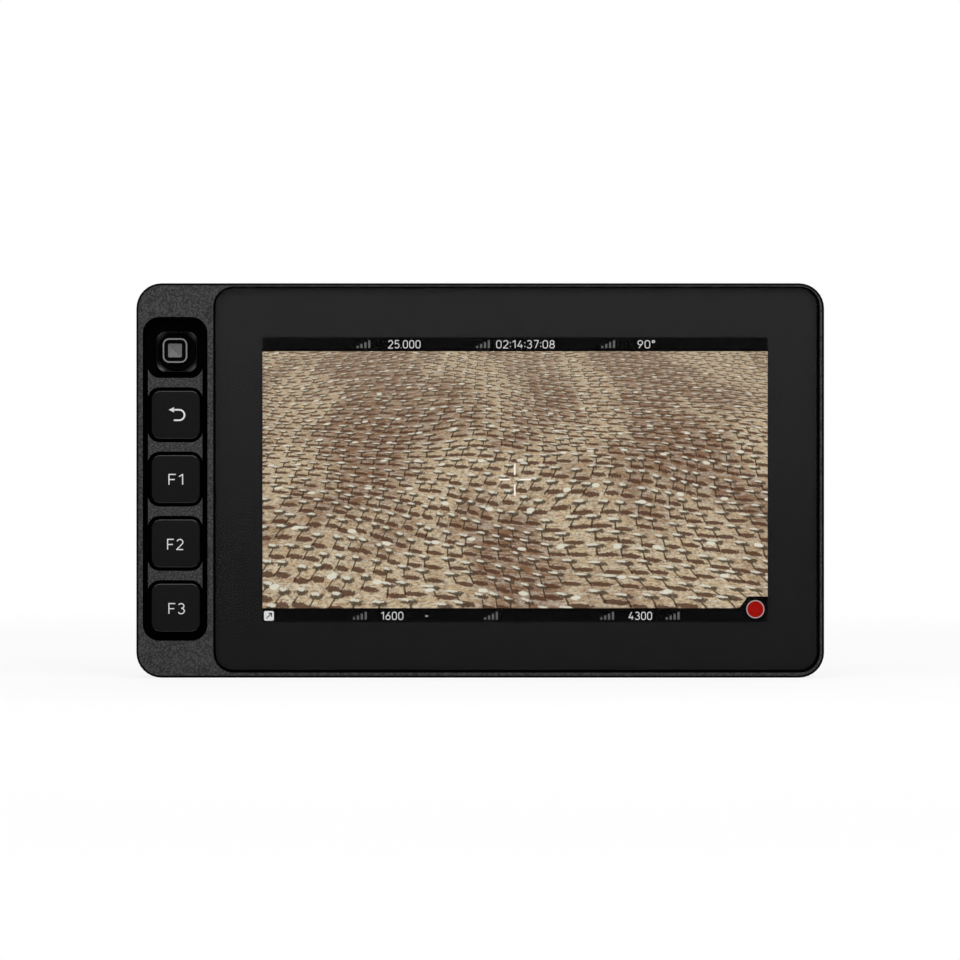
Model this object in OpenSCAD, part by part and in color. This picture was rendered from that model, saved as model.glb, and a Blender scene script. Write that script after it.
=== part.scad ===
// Five inch camera field monitor: a milled housing in two shells, a bonded glass screen,
// a key column with a joystick, side sockets and a sliding battery mount on the back.
// X runs to the viewer's right, Y from the screen to the back, Z up.
// The origin is the centre of the base. Every depth is measured back from the front plane.

/* [Body] */
// Width of the body
body_w = 150.3; // [150.2:0.1:153]
// Height of the body
body_h = 86.2; // [86:0.1:88]
// Depth of the whole object, battery hooks included
body_d = 28; // [27.9:0.1:29]
// Depth of the full-width slab behind the front plane
slab_d = 10.5; // [10.3:0.1:11]
// Depth from the front plane to the back of the hump
hump_d = 25.5; // [25.2:0.1:25.7]
// Width of the hump behind the slab
hump_w = 114; // [113:0.5:115]
// Corner radius of the body seen from the front
corner_r = 5.5; // [5:0.1:6]
// Wall of the slab
wall = 1.5; // [1.4:0.05:1.5]

/* [Screen] */
// Width of the cover glass
glass_w = 131.5; // [131:0.1:131.6]
// Height of the cover glass
glass_h = 83.6; // [83:0.1:83.7]
// Corner radius of the cover glass
glass_r = 3.9; // [3:0.1:4.1]
// Thickness of the cover glass
glass_t = 1.1; // [0.9:0.05:1.1]
// Width of the picture
screen_w = 110.7; // [109:0.1:111]
// Height of the picture
screen_h = 62.3; // [61:0.1:62.4]

/* [Keys] */
// Side of a square key cap
key_size = 10.6; // [10:0.1:10.8]
// Corner radius of a key cap
key_r = 1.9; // [1:0.1:2.2]
// Distance from key to key
key_pitch = 14.05; // [14:0.01:14.1]
// Travel of a key
key_travel = 0.5; // [0.2:0.05:0.5]
// Side of the joystick cap
stick_size = 5.35; // [4.5:0.05:5.4]

/* [Mounts] */
// Bore radius of the camera thread inserts
thread_r = 2.55; // [2.5:0.01:2.6]
// Radius of the locating holes beside each thread
locating_r = 1.6; // [1.5:0.05:1.6]
// Distance between the two locating holes
locating_gap = 18; // [17:0.5:18]

/* [Hidden] */
$fn = 64;

// Colours
housing_black = [0.16, 0.16, 0.165];
plastic_black = [0.08, 0.08, 0.085];
rubber_black = [0.05, 0.05, 0.05];
glass_black = [0.1, 0.1, 0.1];
picture_brown = [0.55, 0.42, 0.3];
cap_grey = [0.4, 0.4, 0.41];
steel = [0.72, 0.72, 0.74];
nickel = [0.78, 0.77, 0.74];
gold = [0.85, 0.68, 0.3];
board_green = [0.1, 0.32, 0.2];
film_amber = [0.75, 0.5, 0.2];
white_plastic = [0.93, 0.92, 0.88];
pad_blue = [0.55, 0.6, 0.75];

// Body: the front plane, the middle height and the edges
front_y = -body_d / 2;
mid_z = body_h / 2;
half_w = body_w / 2;
hump_x = hump_w / 2;
edge_cut = 0.4;
hump_cut = 1.5;
slab_cut = 1;
hump_r = 3;
hump_wall = 1.8;
hump_roof = 2.2;
// Small steps: press fit, flush face, close fit, overlap of joined pieces, cutter overrun
tiny = 0.01;
press_gap = 0.02;
fine = 0.05;
overlap = 0.5;
cut = 1;

// Depths of the layers, front to back
parting_front = 8;
parting_back = 8.2;
glass_front = 0.2;
glass_back = glass_front + glass_t;
shelf_d = 1.7;
cavity_d = 2.9;
tray_front = 2.95;
tray_floor = 5.1;
tray_back = 5.6;
frame_front = 5.65;
frame_back = 6.65;
control_front = 6.1;
control_back = 7.1;
slab_inner = slab_d - wall;
board_front = 13;
board_back = 14.6;
hump_inner = hump_d - 4.5;
plate_floor = hump_d - 2.5;
plate_back = hump_d + 1;

// Inside outline of the slab
inner_w = body_w - 2 * wall;
inner_h = body_h - 2 * wall - 0.6;
inner_r = corner_r - wall;
inner_top = mid_z + body_h / 2 - hump_roof;

// Glass, its opening and the display behind it
glass_x = half_w - 67.31;
glass_z = mid_z + 0.35;
glass_cut = 0.15;
opening_x = glass_x + 0.1;
opening_z = mid_z + 0.2;
opening_w = glass_w + 0.9;
opening_h = glass_h + 0.64;
opening_r = glass_r + 0.4;
screen_x = glass_x - 0.34;
screen_z = mid_z + 0.3;
lcd_w = screen_w + 6.6;
lcd_h = screen_h + 6.7;
lcd_r = 0.5;
lcd_bottom = screen_z - lcd_h / 2;
window_gap = 0.5;

// Key column: a channel in the face, a bezel plate behind it and islands between the keys
key_x = 8.5 - half_w;
first_key_z = mid_z - 27.8;
key_count = 4;
channel_w = 14;
channel_h = 70.6;
channel_z = mid_z + 0.35;
channel_r = 3.5;
bezel_w = channel_w - 0.3;
bezel_h = channel_h + 2;
bezel_r = channel_r - 0.2;
bezel_back = 3.7;
island_w = 11.9;
island_h = 8;
island_front = 0.1;
pocket_size = 12;
pocket_r = 2.6;
stick_pocket_h = 13.2;
stick_pocket_z = mid_z + 29;
membrane_front = 2.4;
key_front = 0.15;
key_back = 1.85;
// Rounded edge of a key as steps of [inset, depth behind its face]
key_edge = [[0.35, 0], [0.1, 0.12], [0, 0.4]];
stem_r = 1.3;
stem_hole_r = 1.7;
stem_end = 3.9;
switch_front = 4.9;
switch_half = 2.3;
plunger_r = 1.2;
control_x = [key_x - 6.6, key_x + 6.9];
control_z = [channel_z - 36.4, channel_z + 36];
post_keys = [0.5, 2.5];
post_r = 1.6;
function key_z(i) = first_key_z + i * key_pitch;

// Joystick: two crossed hinges in a ring, and a stem that slides in the inner hub
stick_x = key_x - 0.15;
stick_z = mid_z + 28.4;
stick_front = 0.2;
stick_back = 1.6;
stick_r = 1.2;
pivot_d = 5;
collar_size = 8.8;
collar_r = 1.8;
collar_front = 1.4;
collar_bore_r = 4.1;
case_size = 8.6;
case_r = 0.6;
case_bore_r = 3.6;
case_front = 3.9;
pin_r = 0.35;
pin_hole_r = 0.4;
ring_pin_end = 4;
hub_pin_end = 3.1;
pin_hole_end = ring_pin_end + 0.1;
ring_r = 3.3;
ring_bore_r = 2.35;
ring_half = 0.7;
hub_r = 2;
hub_half = 0.6;
neck_r = 1.1;
neck_hole_r = 3;
stick_stem_r = 0.85;

// Screws: four at the slab's corners, four down through the hump, four in the mid frame
slab_screw_x = half_w - 4.75;
slab_screw_z = [3.9, body_h - 3.9];
slab_post_r = 2.4;
slab_shank_r = 0.95;
slab_head_r = 2.1;
slab_head_h = 0.7;
slab_sink = 0.8;
slab_sink_r = 2.3;
hump_screw_x = 50;
hump_screw_z = [5, body_h - 5];
hump_post_r = 2.6;
hump_column_r = 3.1;
hump_shank_r = 1.1;
hump_head_r = 2.25;
hump_head_h = 2.2;
hump_sink = 3;
hump_sink_r = 2.5;
housing_tip_d = 4.6;
frame_screw_x = 18;
frame_post_r = 2;
frame_tip_d = 3.6;
inner_shank_r = 0.8;
inner_head_r = 1.7;
inner_head_h = 1;
standoffs = [[-40, mid_z - 27], [40, mid_z - 27], [-40, mid_z + 27], [15, mid_z + 27]];
standoff_r = 2.2;
standoff_tip_d = 9;
key_tip_d = 4.2;
key_shank_r = 0.6;
key_head_r = 1.4;
key_head_h = 0.8;
// Play round a shank in a housing and in a board, and ahead of its tip
pass_gap = 0.1;
board_gap = 0.2;
tip_gap = 0.2;

// Flat cable slot under the display
flex_x = [21, 36.5];
flex_t = 0.25;
flex_z = lcd_bottom - 0.35;

// Sockets: depths and heights of their axes, and the card slot's place on the top
coax_d = 18;
coax_z = [mid_z - 2, mid_z + 20];
coax_r = 4.83;
coax_bore_r = 4.05;
coax_mouth = -hump_x - 11.5;
coax_seat = -hump_x - 3;
coax_tip = -hump_x - 6.4;
coax_insulator_r = 2.4;
coax_pin_r = 0.7;
coax_pin_bore_r = 0.4;
video_d = 17.3;
video_z = [mid_z + 4, mid_z + 23];
video_depth = 11.4;
video_w = 14.8;
video_h = 5.35;
video_corner = 1.9;
video_shell_t = 0.4;
video_hole = [6.4, 15.6, 0.6];
data_d = board_back + 1.62;
data_z = mid_z - 12;
data_depth = 8;
data_hole = [3.6, 9.4, 1.7];
data_outside = [3.2, 8.96, 1.55];
data_inside = [2.56, 8.34, 1.25];
data_arc = 5;
headphone_d = 17.4;
headphone_z = mid_z - 22;
headphone_r = 1.8;
headphone_neck_r = 3;
headphone_length = 14;
power_d = 16.8;
power_z = mid_z - 28;
power_r = 3.9;
power_bore_r = 3.1;
power_pin_r = 0.45;
card_x = 32.2;
card_w = 26;
card_t = 2.8;

// Button and light on the top
button_x = -34;
button_d = 16.2;
button_r = 3.6;
button_hole_r = 3.75;
flange_r = 4.4;
flange_bottom = inner_top - 1;
button_travel = 0.6;
dish_r = 4.6;
dish_depth = 0.8;
light_x = -24;
light_r = 0.8;

// Camera threads and the blocks that hold the inserts
thread_d = 17.5;
insert_r = 4.6;
insert_length = 9.5;
insert_sink = 0.2;
insert_lead = 0.7;
block_half = 12.5;
block_h = 11.5;
locating_depth = 5;

// Cooling grooves left and right of the battery plate
fin_first_x = 28.5;
fin_pitch = 4;
fin_count = 7;
groove_w = 2.2;
groove_h = 60;

// Battery plate
plate_w = 45.4;
plate_h = 75.4;
plate_r = 2;
plate_gap = 0.2;
plate_bevel = 0.6;
plate_post_front = hump_inner - 2.5;
plate_post_r = 2.3;
plate_tip_d = hump_inner - 1.6;
plate_hole_r = 1.1;
plate_cone_r = 2.4;
plate_cone = 1.3;
plate_screw_x = 18.5;
plate_screw_z = [mid_z - 32.9, mid_z + 32.9];
wire_hole_x = 8;
wire_hole_z = [mid_z - 29.1, mid_z - 25.7];
power_post_x = 5;
power_post_z = mid_z - 27.4;
power_post_r = 0.6;
power_post_end = plate_floor + 2.5;
hook_x = 15.4;
hook_z = [mid_z - 19, mid_z + 11];
hook_h = 7;
hook_post = 2;
hook_reach = 4;
lip_front = plate_back + 0.7;
contact_z = mid_z - 30.1;
contact_x = [-7, 0, 7];
contact_half = 11;
contact_h = 5.5;
contact_front = plate_floor + 1.55;
blade_front = plate_back + 0.1;
blade_z = contact_z + 3.2;
latch_z = mid_z + 27.4;
latch_w = 10;
latch_h = 8;
latch_front = plate_back - 1.55;
latch_step = plate_back - 0.9;
latch_face = plate_back + 0.8;
latch_bore_r = 2.3;
latch_bore_d = plate_back + 0.4;

// Outline of a rectangle with round corners, counter-clockwise, centred
function rounded_outline(w, h, r, n = 8) = [
    for (c = [0:3])
        for (k = [0:n])
            let (a = 90 * (c + k / n), sx = (c == 0 || c == 3) ? 1 : -1, sz = c < 2 ? 1 : -1)
            [sx * (w / 2 - r) + r * cos(a), sz * (h / 2 - r) + r * sin(a)]];

// Outline of a socket with two cut corners on the side that faces the screen
function cut_outline(w, h, corner) = [
    [h / 2, -w / 2], [h / 2, w / 2], [corner - h / 2, w / 2], [-h / 2, w / 2 - corner],
    [-h / 2, corner - w / 2], [corner - h / 2, -w / 2]];

// A shape drawn as seen from the front, between two depths
module panel(d0, d1)
    translate([0, front_y + d1, 0]) rotate([90, 0, 0]) linear_extrude(d1 - d0) children();

// A shape drawn with depth across and height up, between two X values
module side_panel(x0, x1)
    translate([x0, front_y, 0]) rotate([90, 0, 90]) linear_extrude(x1 - x0) children();

module rounded_panel(x, z, w, h, r, d0, d1, n = 8)
    panel(d0, d1) translate([x, z]) polygon(rounded_outline(w, h, r, n));

module block(x, d, z)
    translate([x[0], front_y + d[0], z[0]]) cube([x[1] - x[0], d[1] - d[0], z[1] - z[0]]);

module rod_x(x0, x1, d, z, r)
    translate([x0, front_y + d, z]) rotate([0, 90, 0]) cylinder(r = r, h = x1 - x0);

module rod_y(x, z, d0, d1, r)
    translate([x, front_y + d0, z]) rotate([-90, 0, 0]) cylinder(r = r, h = d1 - d0);

module rod_z(x, d, z0, z1, r)
    translate([x, front_y + d, z0]) cylinder(r = r, h = z1 - z0);

// The range of size along an axis, centred on a point
function around(centre, size) = [centre - size / 2, centre + size / 2];

// A body lofted through rounded rectangles; each step is [inset, depth], front to back
module stepped_body(x, z, w, h, r, steps, n = 8) {
    ring = 4 * (n + 1);
    last = len(steps) - 1;
    polyhedron(
        points = [for (s = steps)
            for (p = rounded_outline(w - 2 * s[0], h - 2 * s[0], r - s[0], n))
                [x + p[0], front_y + s[1], z + p[1]]],
        faces = concat(
            [[for (k = [ring - 1:-1:0]) k]],
            [[for (k = [0:ring - 1]) last * ring + k]],
            [for (s = [0:last - 1]) for (k = [0:ring - 1]) let (m = (k + 1) % ring)
                [s * ring + k, s * ring + m, (s + 1) * ring + m, (s + 1) * ring + k]]),
        convexity = 4);
}

// Places that repeat, each given as an offset in X and Z
module at_slab_screws()
    for (side = [-1, 1]) for (z = slab_screw_z) translate([side * slab_screw_x, 0, z]) children();

module at_hump_screws()
    for (side = [-1, 1]) for (z = hump_screw_z) translate([side * hump_screw_x, 0, z]) children();

module at_frame_screws()
    for (side = [-1, 1]) for (z = hump_screw_z) translate([side * frame_screw_x, 0, z]) children();

module at_standoffs()
    for (p = standoffs) translate([p[0], 0, p[1]]) children();

module at_key_posts()
    for (i = post_keys) translate([key_x, 0, key_z(i)]) children();

module at_plate_screws()
    for (side = [-1, 1]) for (z = plate_screw_z) translate([side * plate_screw_x, 0, z]) children();

// Front housing: one milled frame with the glass recess, the display window and the key channel

module front_housing() color(housing_black) {
    difference() {
        stepped_body(0, mid_z, body_w, body_h, corner_r,
            [[edge_cut, 0], [0, edge_cut], [0, parting_front]]);
        rounded_panel(opening_x, opening_z, opening_w, opening_h, opening_r, -cut, shelf_d);
        rounded_panel(screen_x, screen_z, lcd_w + 2 * window_gap, lcd_h + 2 * window_gap, 1,
            shelf_d - cut, cavity_d + cut);
        rounded_panel(key_x, channel_z, channel_w, channel_h, channel_r, -cut, cavity_d + cut);
        rounded_panel(0, mid_z, inner_w, inner_h, inner_r, cavity_d, parting_front + cut);
    }
    post_root = cavity_d - overlap;
    drill_d = housing_tip_d - 2 * tip_gap;
    difference() {
        union() {
            at_slab_screws() rod_y(0, 0, post_root, parting_front, slab_post_r);
            at_hump_screws() rod_y(0, 0, post_root, parting_front, hump_post_r);
            at_frame_screws() rod_y(0, 0, post_root, frame_front, frame_post_r);
        }
        at_slab_screws() rod_y(0, 0, drill_d, parting_front + cut, slab_shank_r + fine);
        at_hump_screws() rod_y(0, 0, drill_d, parting_front + cut, hump_shank_r + fine);
        at_frame_screws()
            rod_y(0, 0, frame_tip_d - tip_gap, frame_front + cut, inner_shank_r + fine);
    }
}

// Rear housing: the slab's back and the hump in one casting

module rear_shell() {
    stepped_body(0, mid_z, body_w, body_h, corner_r,
        [[0, parting_back], [0, slab_d - slab_cut], [slab_cut, slab_d]]);
    stepped_body(0, mid_z, hump_w, body_h, hump_r,
        [[0, parting_back], [0, hump_d - hump_cut], [hump_cut, hump_d]]);
}

module rear_cavity() {
    rounded_panel(0, mid_z, inner_w, inner_h, inner_r, parting_back - cut, slab_inner);
    rounded_panel(0, mid_z, hump_w - 2 * hump_wall, body_h - 2 * hump_roof, 2,
        parting_back - cut, hump_inner);
}

module rear_posts() {
    at_slab_screws() rod_y(0, 0, parting_back, slab_inner + cut, slab_post_r);
    at_hump_screws() rod_y(0, 0, parting_back, hump_inner + cut, hump_column_r);
    at_plate_screws() rod_y(0, 0, plate_post_front, hump_inner + cut, plate_post_r);
    for (z = [[insert_sink, block_h], [body_h - block_h, body_h - insert_sink]])
        block([-block_half, block_half], [slab_d, hump_inner + cut], z);
}

module fin_grooves()
    for (side = [-1, 1]) for (i = [0:fin_count - 1])
        rounded_panel(side * (fin_first_x + i * fin_pitch), mid_z, groove_w, groove_h,
            groove_w / 2 - fine, plate_floor, hump_d + cut, 4);

module screw_holes() {
    at_slab_screws() {
        rod_y(0, 0, parting_back - cut, slab_d + cut, slab_shank_r + pass_gap);
        rod_y(0, 0, slab_d - slab_sink, slab_d + cut, slab_sink_r);
    }
    at_hump_screws() {
        rod_y(0, 0, parting_back - cut, hump_d + cut, hump_shank_r + pass_gap);
        rod_y(0, 0, hump_d - hump_sink, hump_d + cut, hump_sink_r);
    }
    at_plate_screws()
        rod_y(0, 0, plate_tip_d - tip_gap, plate_floor + cut, inner_shank_r + fine);
}

module thread_holes() {
    seat = insert_length + insert_sink;
    for (z = [[-cut, seat], [body_h - seat, body_h + cut]])
        rod_z(0, thread_d, z[0], z[1], insert_r + press_gap);
    for (side = [-1, 1]) for (z = [[-cut, locating_depth],
        [body_h - locating_depth, body_h + cut]])
        rod_z(side * locating_gap / 2, thread_d, z[0], z[1], locating_r);
}

// Outline of a slot that is given as [size in depth, height, corner radius]
function slot_outline(slot, n) = rounded_outline(slot[0], slot[1], slot[2], n);

module side_port_holes() {
    left = [-hump_x - cut, -hump_x + hump_wall + cut];
    right = [hump_x - hump_wall - cut, hump_x + cut];
    for (z = coax_z) rod_x(left[0], left[1], coax_d, z, coax_r + fine);
    rod_x(left[0], left[1], headphone_d, headphone_z, headphone_neck_r + fine);
    for (z = video_z) side_panel(right[0], right[1])
        translate([video_d, z]) polygon(slot_outline(video_hole, 3));
    side_panel(right[0], right[1])
        translate([data_d, data_z]) polygon(slot_outline(data_hole, data_arc));
    rod_x(right[0], right[1], power_d, power_z, power_r + fine);
}

module top_holes() {
    through = body_h - hump_roof - cut;
    slot_inset = 0.6;
    slot_edge = 0.1;
    scoop_r = 5;
    scoop_rise = 2.6;
    rod_z(button_x, button_d, through, body_h + cut, button_hole_r);
    rod_z(button_x, button_d, body_h - dish_depth, body_h + cut, dish_r);
    rod_z(light_x, button_d, through, body_h + cut, light_r + fine);
    block(around(card_x, card_w - 2 * slot_inset),
        [board_back + slot_edge, board_back + card_t - slot_edge], [through, body_h + cut]);
    // Finger scoop beside the card slot
    translate([card_x, front_y + board_back + card_t, body_h + scoop_rise])
        sphere(r = scoop_r);
}

module rear_housing() color(housing_black) difference() {
    union() {
        difference() {
            rear_shell();
            rear_cavity();
        }
        rear_posts();
    }
    rounded_panel(0, mid_z, plate_w + 2 * plate_gap, plate_h + 2 * plate_gap,
        plate_r + plate_gap, plate_floor, hump_d + cut);
    block([-wire_hole_x, wire_hole_x], [hump_inner - cut, plate_floor + cut], wire_hole_z);
    fin_grooves();
    screw_holes();
    thread_holes();
    side_port_holes();
    top_holes();
}

module housing_seal() color(rubber_black) difference() {
    step = 0.35;
    rounded_panel(0, mid_z, body_w - 2 * step, body_h - 2 * step, corner_r - step,
        parting_front, parting_back);
    rounded_panel(0, mid_z, inner_w, inner_h, inner_r, parting_front - cut, parting_back + cut);
}

// A six-sided socket sunk into a screw's head from the depth d, seen from the back
module hex_socket(d, r, h)
    translate([0, front_y + d, 0]) rotate([-90, 0, 0]) cylinder(r = r, h = h, $fn = 6);

// A socket-head screw: its head stands on the depth seat, its shank runs forward to tip
module cap_screw(seat, tip, head_h, head_r, shank_r) difference() {
    socket_d = seat + 0.55 * head_h;
    socket_r = 0.55 * head_r;
    union() {
        rod_y(0, 0, seat, seat + head_h, head_r);
        rod_y(0, 0, tip, seat, shank_r);
    }
    hex_socket(socket_d, socket_r, head_h);
}

module housing_screws() color(steel) {
    at_slab_screws()
        cap_screw(slab_d - slab_sink, housing_tip_d, slab_head_h, slab_head_r, slab_shank_r);
    at_hump_screws()
        cap_screw(hump_d - hump_sink, housing_tip_d, hump_head_h, hump_head_r, hump_shank_r);
}

// A bore through a round insert, opened out at its mouth
module thread_insert() difference() {
    cylinder(r = insert_r, h = insert_length);
    translate([0, 0, -cut]) cylinder(r = thread_r, h = insert_length + 2 * cut);
    translate([0, 0, -tiny])
        cylinder(r1 = thread_r + insert_lead, r2 = thread_r, h = insert_lead);
}

module bottom_thread_insert() color(steel)
    translate([0, front_y + thread_d, insert_sink]) thread_insert();

module top_thread_insert() color(steel)
    translate([0, front_y + thread_d, body_h - insert_sink]) mirror([0, 0, 1]) thread_insert();

// Display stack, front to back

module cover_glass() color(glass_black)
    stepped_body(glass_x, glass_z, glass_w, glass_h, glass_r,
        [[glass_cut, glass_front], [0, glass_front + glass_cut], [0, glass_back]]);

module glass_tape() color(rubber_black) difference() {
    side = 0.3;
    edge = 0.4;
    window = 1.1;
    window_r = 1.5;
    rounded_panel(glass_x, glass_z, glass_w - 2 * side, glass_h - 2 * edge, glass_r - side,
        glass_back, shelf_d);
    rounded_panel(screen_x, screen_z, lcd_w + 2 * window, lcd_h + 2 * window, window_r,
        glass_back - cut, shelf_d + cut);
}

module lcd_panel() color(picture_brown)
    rounded_panel(screen_x, screen_z, lcd_w, lcd_h, lcd_r, glass_back, cavity_d, 2);

module light_guide() color(white_plastic) {
    side = 0.35;
    foot = 2;
    head = 0.4;
    block(around(screen_x, lcd_w - 2 * side), [tray_front, tray_floor],
        [lcd_bottom + foot, lcd_bottom + lcd_h - head]);
}

module led_strip() color(pad_blue) {
    led_count = 20;
    led_pitch = (lcd_w - 3) / led_count;
    led_w = 3.2;
    led_inset = 0.2;
    strip_side = 0.65;
    // Heights over the foot of the display: the strip's foot, the lamps' foot and top
    rise = [0.35, 1, 1.95];
    block(around(screen_x, lcd_w - 2 * strip_side), [tray_front, tray_floor],
        [lcd_bottom + rise[0], lcd_bottom + rise[1]]);
    for (i = [0:led_count - 1])
        block(around(screen_x + (i - (led_count - 1) / 2) * led_pitch, led_w),
            [tray_front + led_inset, tray_floor - led_inset],
            [lcd_bottom + rise[1], lcd_bottom + rise[2]]);
}

module backlight_tray() color(steel) difference() {
    // Outside and inside as [width, height, corner radius]
    outside = [lcd_w + 0.3, lcd_h + 0.2, 0.6];
    inside = [lcd_w - 0.5, lcd_h - 0.6, 0.3];
    rounded_panel(screen_x, screen_z, outside[0], outside[1], outside[2], tray_front,
        tray_back, 2);
    rounded_panel(screen_x, screen_z, inside[0], inside[1], inside[2], tray_front - cut,
        tray_floor, 2);
}

// A stiff plate that carries the display in front and the main board behind
module mid_frame() color(steel) difference() {
    tab = 2 * frame_post_r + 1.2;
    plate_shift = 2.5;
    plate_extra = 6.7;
    plate_inset = 0.2;
    flex_gap = 0.2;
    flex_rise = 0.7;
    window_w = 20;
    window_h = 44;
    window_r = 3;
    window_pitch = 30;
    window_shift = 1;
    window_count = 4;
    union() {
        rounded_panel(screen_x - plate_shift, screen_z, lcd_w + plate_extra,
            lcd_h - 2 * plate_inset, 2, frame_front, frame_back, 3);
        for (side = [-1, 1])
            block(around(side * frame_screw_x, tab), [frame_front, frame_back],
                [hump_screw_z[0] - tab / 2, hump_screw_z[1] + tab / 2]);
        at_standoffs() rod_y(0, 0, frame_back - overlap, board_front, standoff_r);
    }
    at_frame_screws()
        rod_y(0, 0, frame_front - cut, frame_back + cut, inner_shank_r + board_gap);
    at_standoffs() rod_y(0, 0, frame_back + cut, board_front + cut, inner_shank_r + fine);
    block([flex_x[0] - flex_gap, flex_x[1] + flex_gap], [frame_front - cut, frame_back + cut],
        [flex_z - cut, flex_z + flex_rise]);
    for (i = [0:window_count - 1])
        rounded_panel((i - (window_count - 1) / 2) * window_pitch + window_shift, screen_z,
            window_w, window_h, window_r, frame_front - cut, frame_back + cut, 3);
}

module inner_screws() color(steel) {
    at_frame_screws()
        cap_screw(frame_back, frame_tip_d, inner_head_h, inner_head_r, inner_shank_r);
    at_standoffs()
        cap_screw(board_back, standoff_tip_d, inner_head_h, inner_head_r, inner_shank_r);
    at_key_posts() cap_screw(control_back, key_tip_d, key_head_h, key_head_r, key_shank_r);
}

// Flat cable from the foot of the display, back under its tray and up to the main board
module display_flex() color(film_amber) {
    start_d = cavity_d - 0.7;
    end_z = flex_z + 9;
    block(flex_x, [start_d, board_front - flex_t / 2], [flex_z, flex_z + flex_t]);
    block(flex_x, [board_front - flex_t, board_front], [flex_z + flex_t / 2, end_z]);
}

// Key column

// The raised lands between the keys, drawn as seen from the front
module key_islands(grow = 0) difference() {
    for (i = [0:key_count - 1])
        translate([key_x, key_z(i + 0.5)]) square([island_w + grow, island_h], center = true);
    for (i = [0:key_count - 1])
        translate([key_x, key_z(i)])
            polygon(rounded_outline(pocket_size - grow, pocket_size - grow, pocket_r));
    translate([key_x, stick_pocket_z])
        polygon(rounded_outline(pocket_size - grow, stick_pocket_h - grow, pocket_r));
}

module key_bezel() color(housing_black) difference() {
    union() {
        rounded_panel(key_x, channel_z, bezel_w, bezel_h, bezel_r, cavity_d, bezel_back);
        panel(island_front, cavity_d + fine) key_islands();
        at_key_posts() rod_y(0, 0, bezel_back - fine, control_front, post_r);
    }
    for (i = [0:key_count - 1]) rod_y(key_x, key_z(i), 0, bezel_back + cut, stem_hole_r);
    at_key_posts()
        rod_y(0, 0, key_tip_d - tip_gap, control_front + cut, key_shank_r + fine);
    rod_y(stick_x, stick_z, cavity_d - cut, bezel_back + cut, neck_hole_r);
}

module key_membrane() color(rubber_black) difference() {
    gap = 0.1;
    edge = 0.15;
    rounded_panel(key_x, channel_z, bezel_w, channel_h - 2 * edge, channel_r - edge,
        membrane_front, cavity_d);
    panel(membrane_front - cut, cavity_d + cut) key_islands(gap);
    for (i = [0:key_count - 1])
        rod_y(key_x, key_z(i), membrane_front - cut, cavity_d + cut, stem_hole_r);
    rounded_panel(stick_x, stick_z, collar_size + gap, collar_size + gap, collar_r + gap,
        membrane_front - cut, cavity_d + cut);
}

module key_cap(i) color(plastic_black) {
    stepped_body(key_x, key_z(i), key_size, key_size, key_r,
        concat([for (e = key_edge) [e[0], key_front + e[1]]], [[0, key_back]]));
    rod_y(key_x, key_z(i), key_back - fine, stem_end, stem_r);
}

module control_board() color(board_green) difference() {
    block(control_x, [control_front, control_back], control_z);
    at_key_posts()
        rod_y(0, 0, control_front - cut, control_back + cut, key_shank_r + board_gap);
}

module key_switches() color(plastic_black) for (i = [0:key_count - 1]) {
    block(around(key_x, 2 * switch_half), [switch_front, control_front],
        around(key_z(i), 2 * switch_half));
    rod_y(key_x, key_z(i), stem_end + key_travel + fine, switch_front, plunger_r);
}

// Flat cable from the control board round the mid frame to the main board
module control_flex() color(film_amber) {
    start_x = key_x + 5;
    edge_x = key_x + 8.65;
    end_x = -49;
    bend_d = slab_inner - overlap;
    z = around(mid_z - 3, 8);
    block([start_x, edge_x], [control_back, control_back + flex_t], z);
    block([edge_x - flex_t, edge_x], [control_back, bend_d], z);
    block([edge_x - flex_t, end_x], [bend_d - flex_t, bend_d], z);
    block([end_x - flex_t, end_x], [bend_d - flex_t, board_front], z);
}

// Joystick

module joystick_collar() color(plastic_black) difference() {
    bevel = 0.3;
    stepped_body(stick_x, stick_z, collar_size, collar_size, collar_r,
        [[bevel, collar_front], [0, collar_front + bevel], [0, cavity_d]]);
    rod_y(stick_x, stick_z, 0, bezel_back, collar_bore_r);
}

module joystick_case() color(plastic_black) difference() {
    rounded_panel(stick_x, stick_z, case_size, case_size, case_r, case_front, control_front, 3);
    rod_y(stick_x, stick_z, case_front - cut, control_front + cut, case_bore_r);
    rod_z(stick_x, pivot_d, stick_z - pin_hole_end, stick_z + pin_hole_end, pin_hole_r);
}

// Turns on upright pins in the case
module joystick_ring() color(steel) difference() {
    union() {
        rod_y(stick_x, stick_z, pivot_d - ring_half, pivot_d + ring_half, ring_r);
        rod_z(stick_x, pivot_d, stick_z - ring_pin_end, stick_z + ring_pin_end, pin_r);
    }
    rod_y(stick_x, stick_z, pivot_d - cut, pivot_d + cut, ring_bore_r);
    rod_x(stick_x - ring_pin_end, stick_x + ring_pin_end, pivot_d, stick_z, pin_hole_r);
}

// Turns on level pins in the ring
module joystick_hub() color(nickel) difference() {
    union() {
        rod_y(stick_x, stick_z, pivot_d - hub_half, pivot_d + hub_half, hub_r);
        rod_x(stick_x - hub_pin_end, stick_x + hub_pin_end, pivot_d, stick_z, pin_r);
    }
    rod_y(stick_x, stick_z, pivot_d - cut, pivot_d + cut, stick_stem_r + fine);
}

module joystick_stem() color(nickel) {
    rod_y(stick_x, stick_z, stick_back, case_front, neck_r);
    rod_y(stick_x, stick_z, case_front - fine, pivot_d + overlap, stick_stem_r);
}

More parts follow.
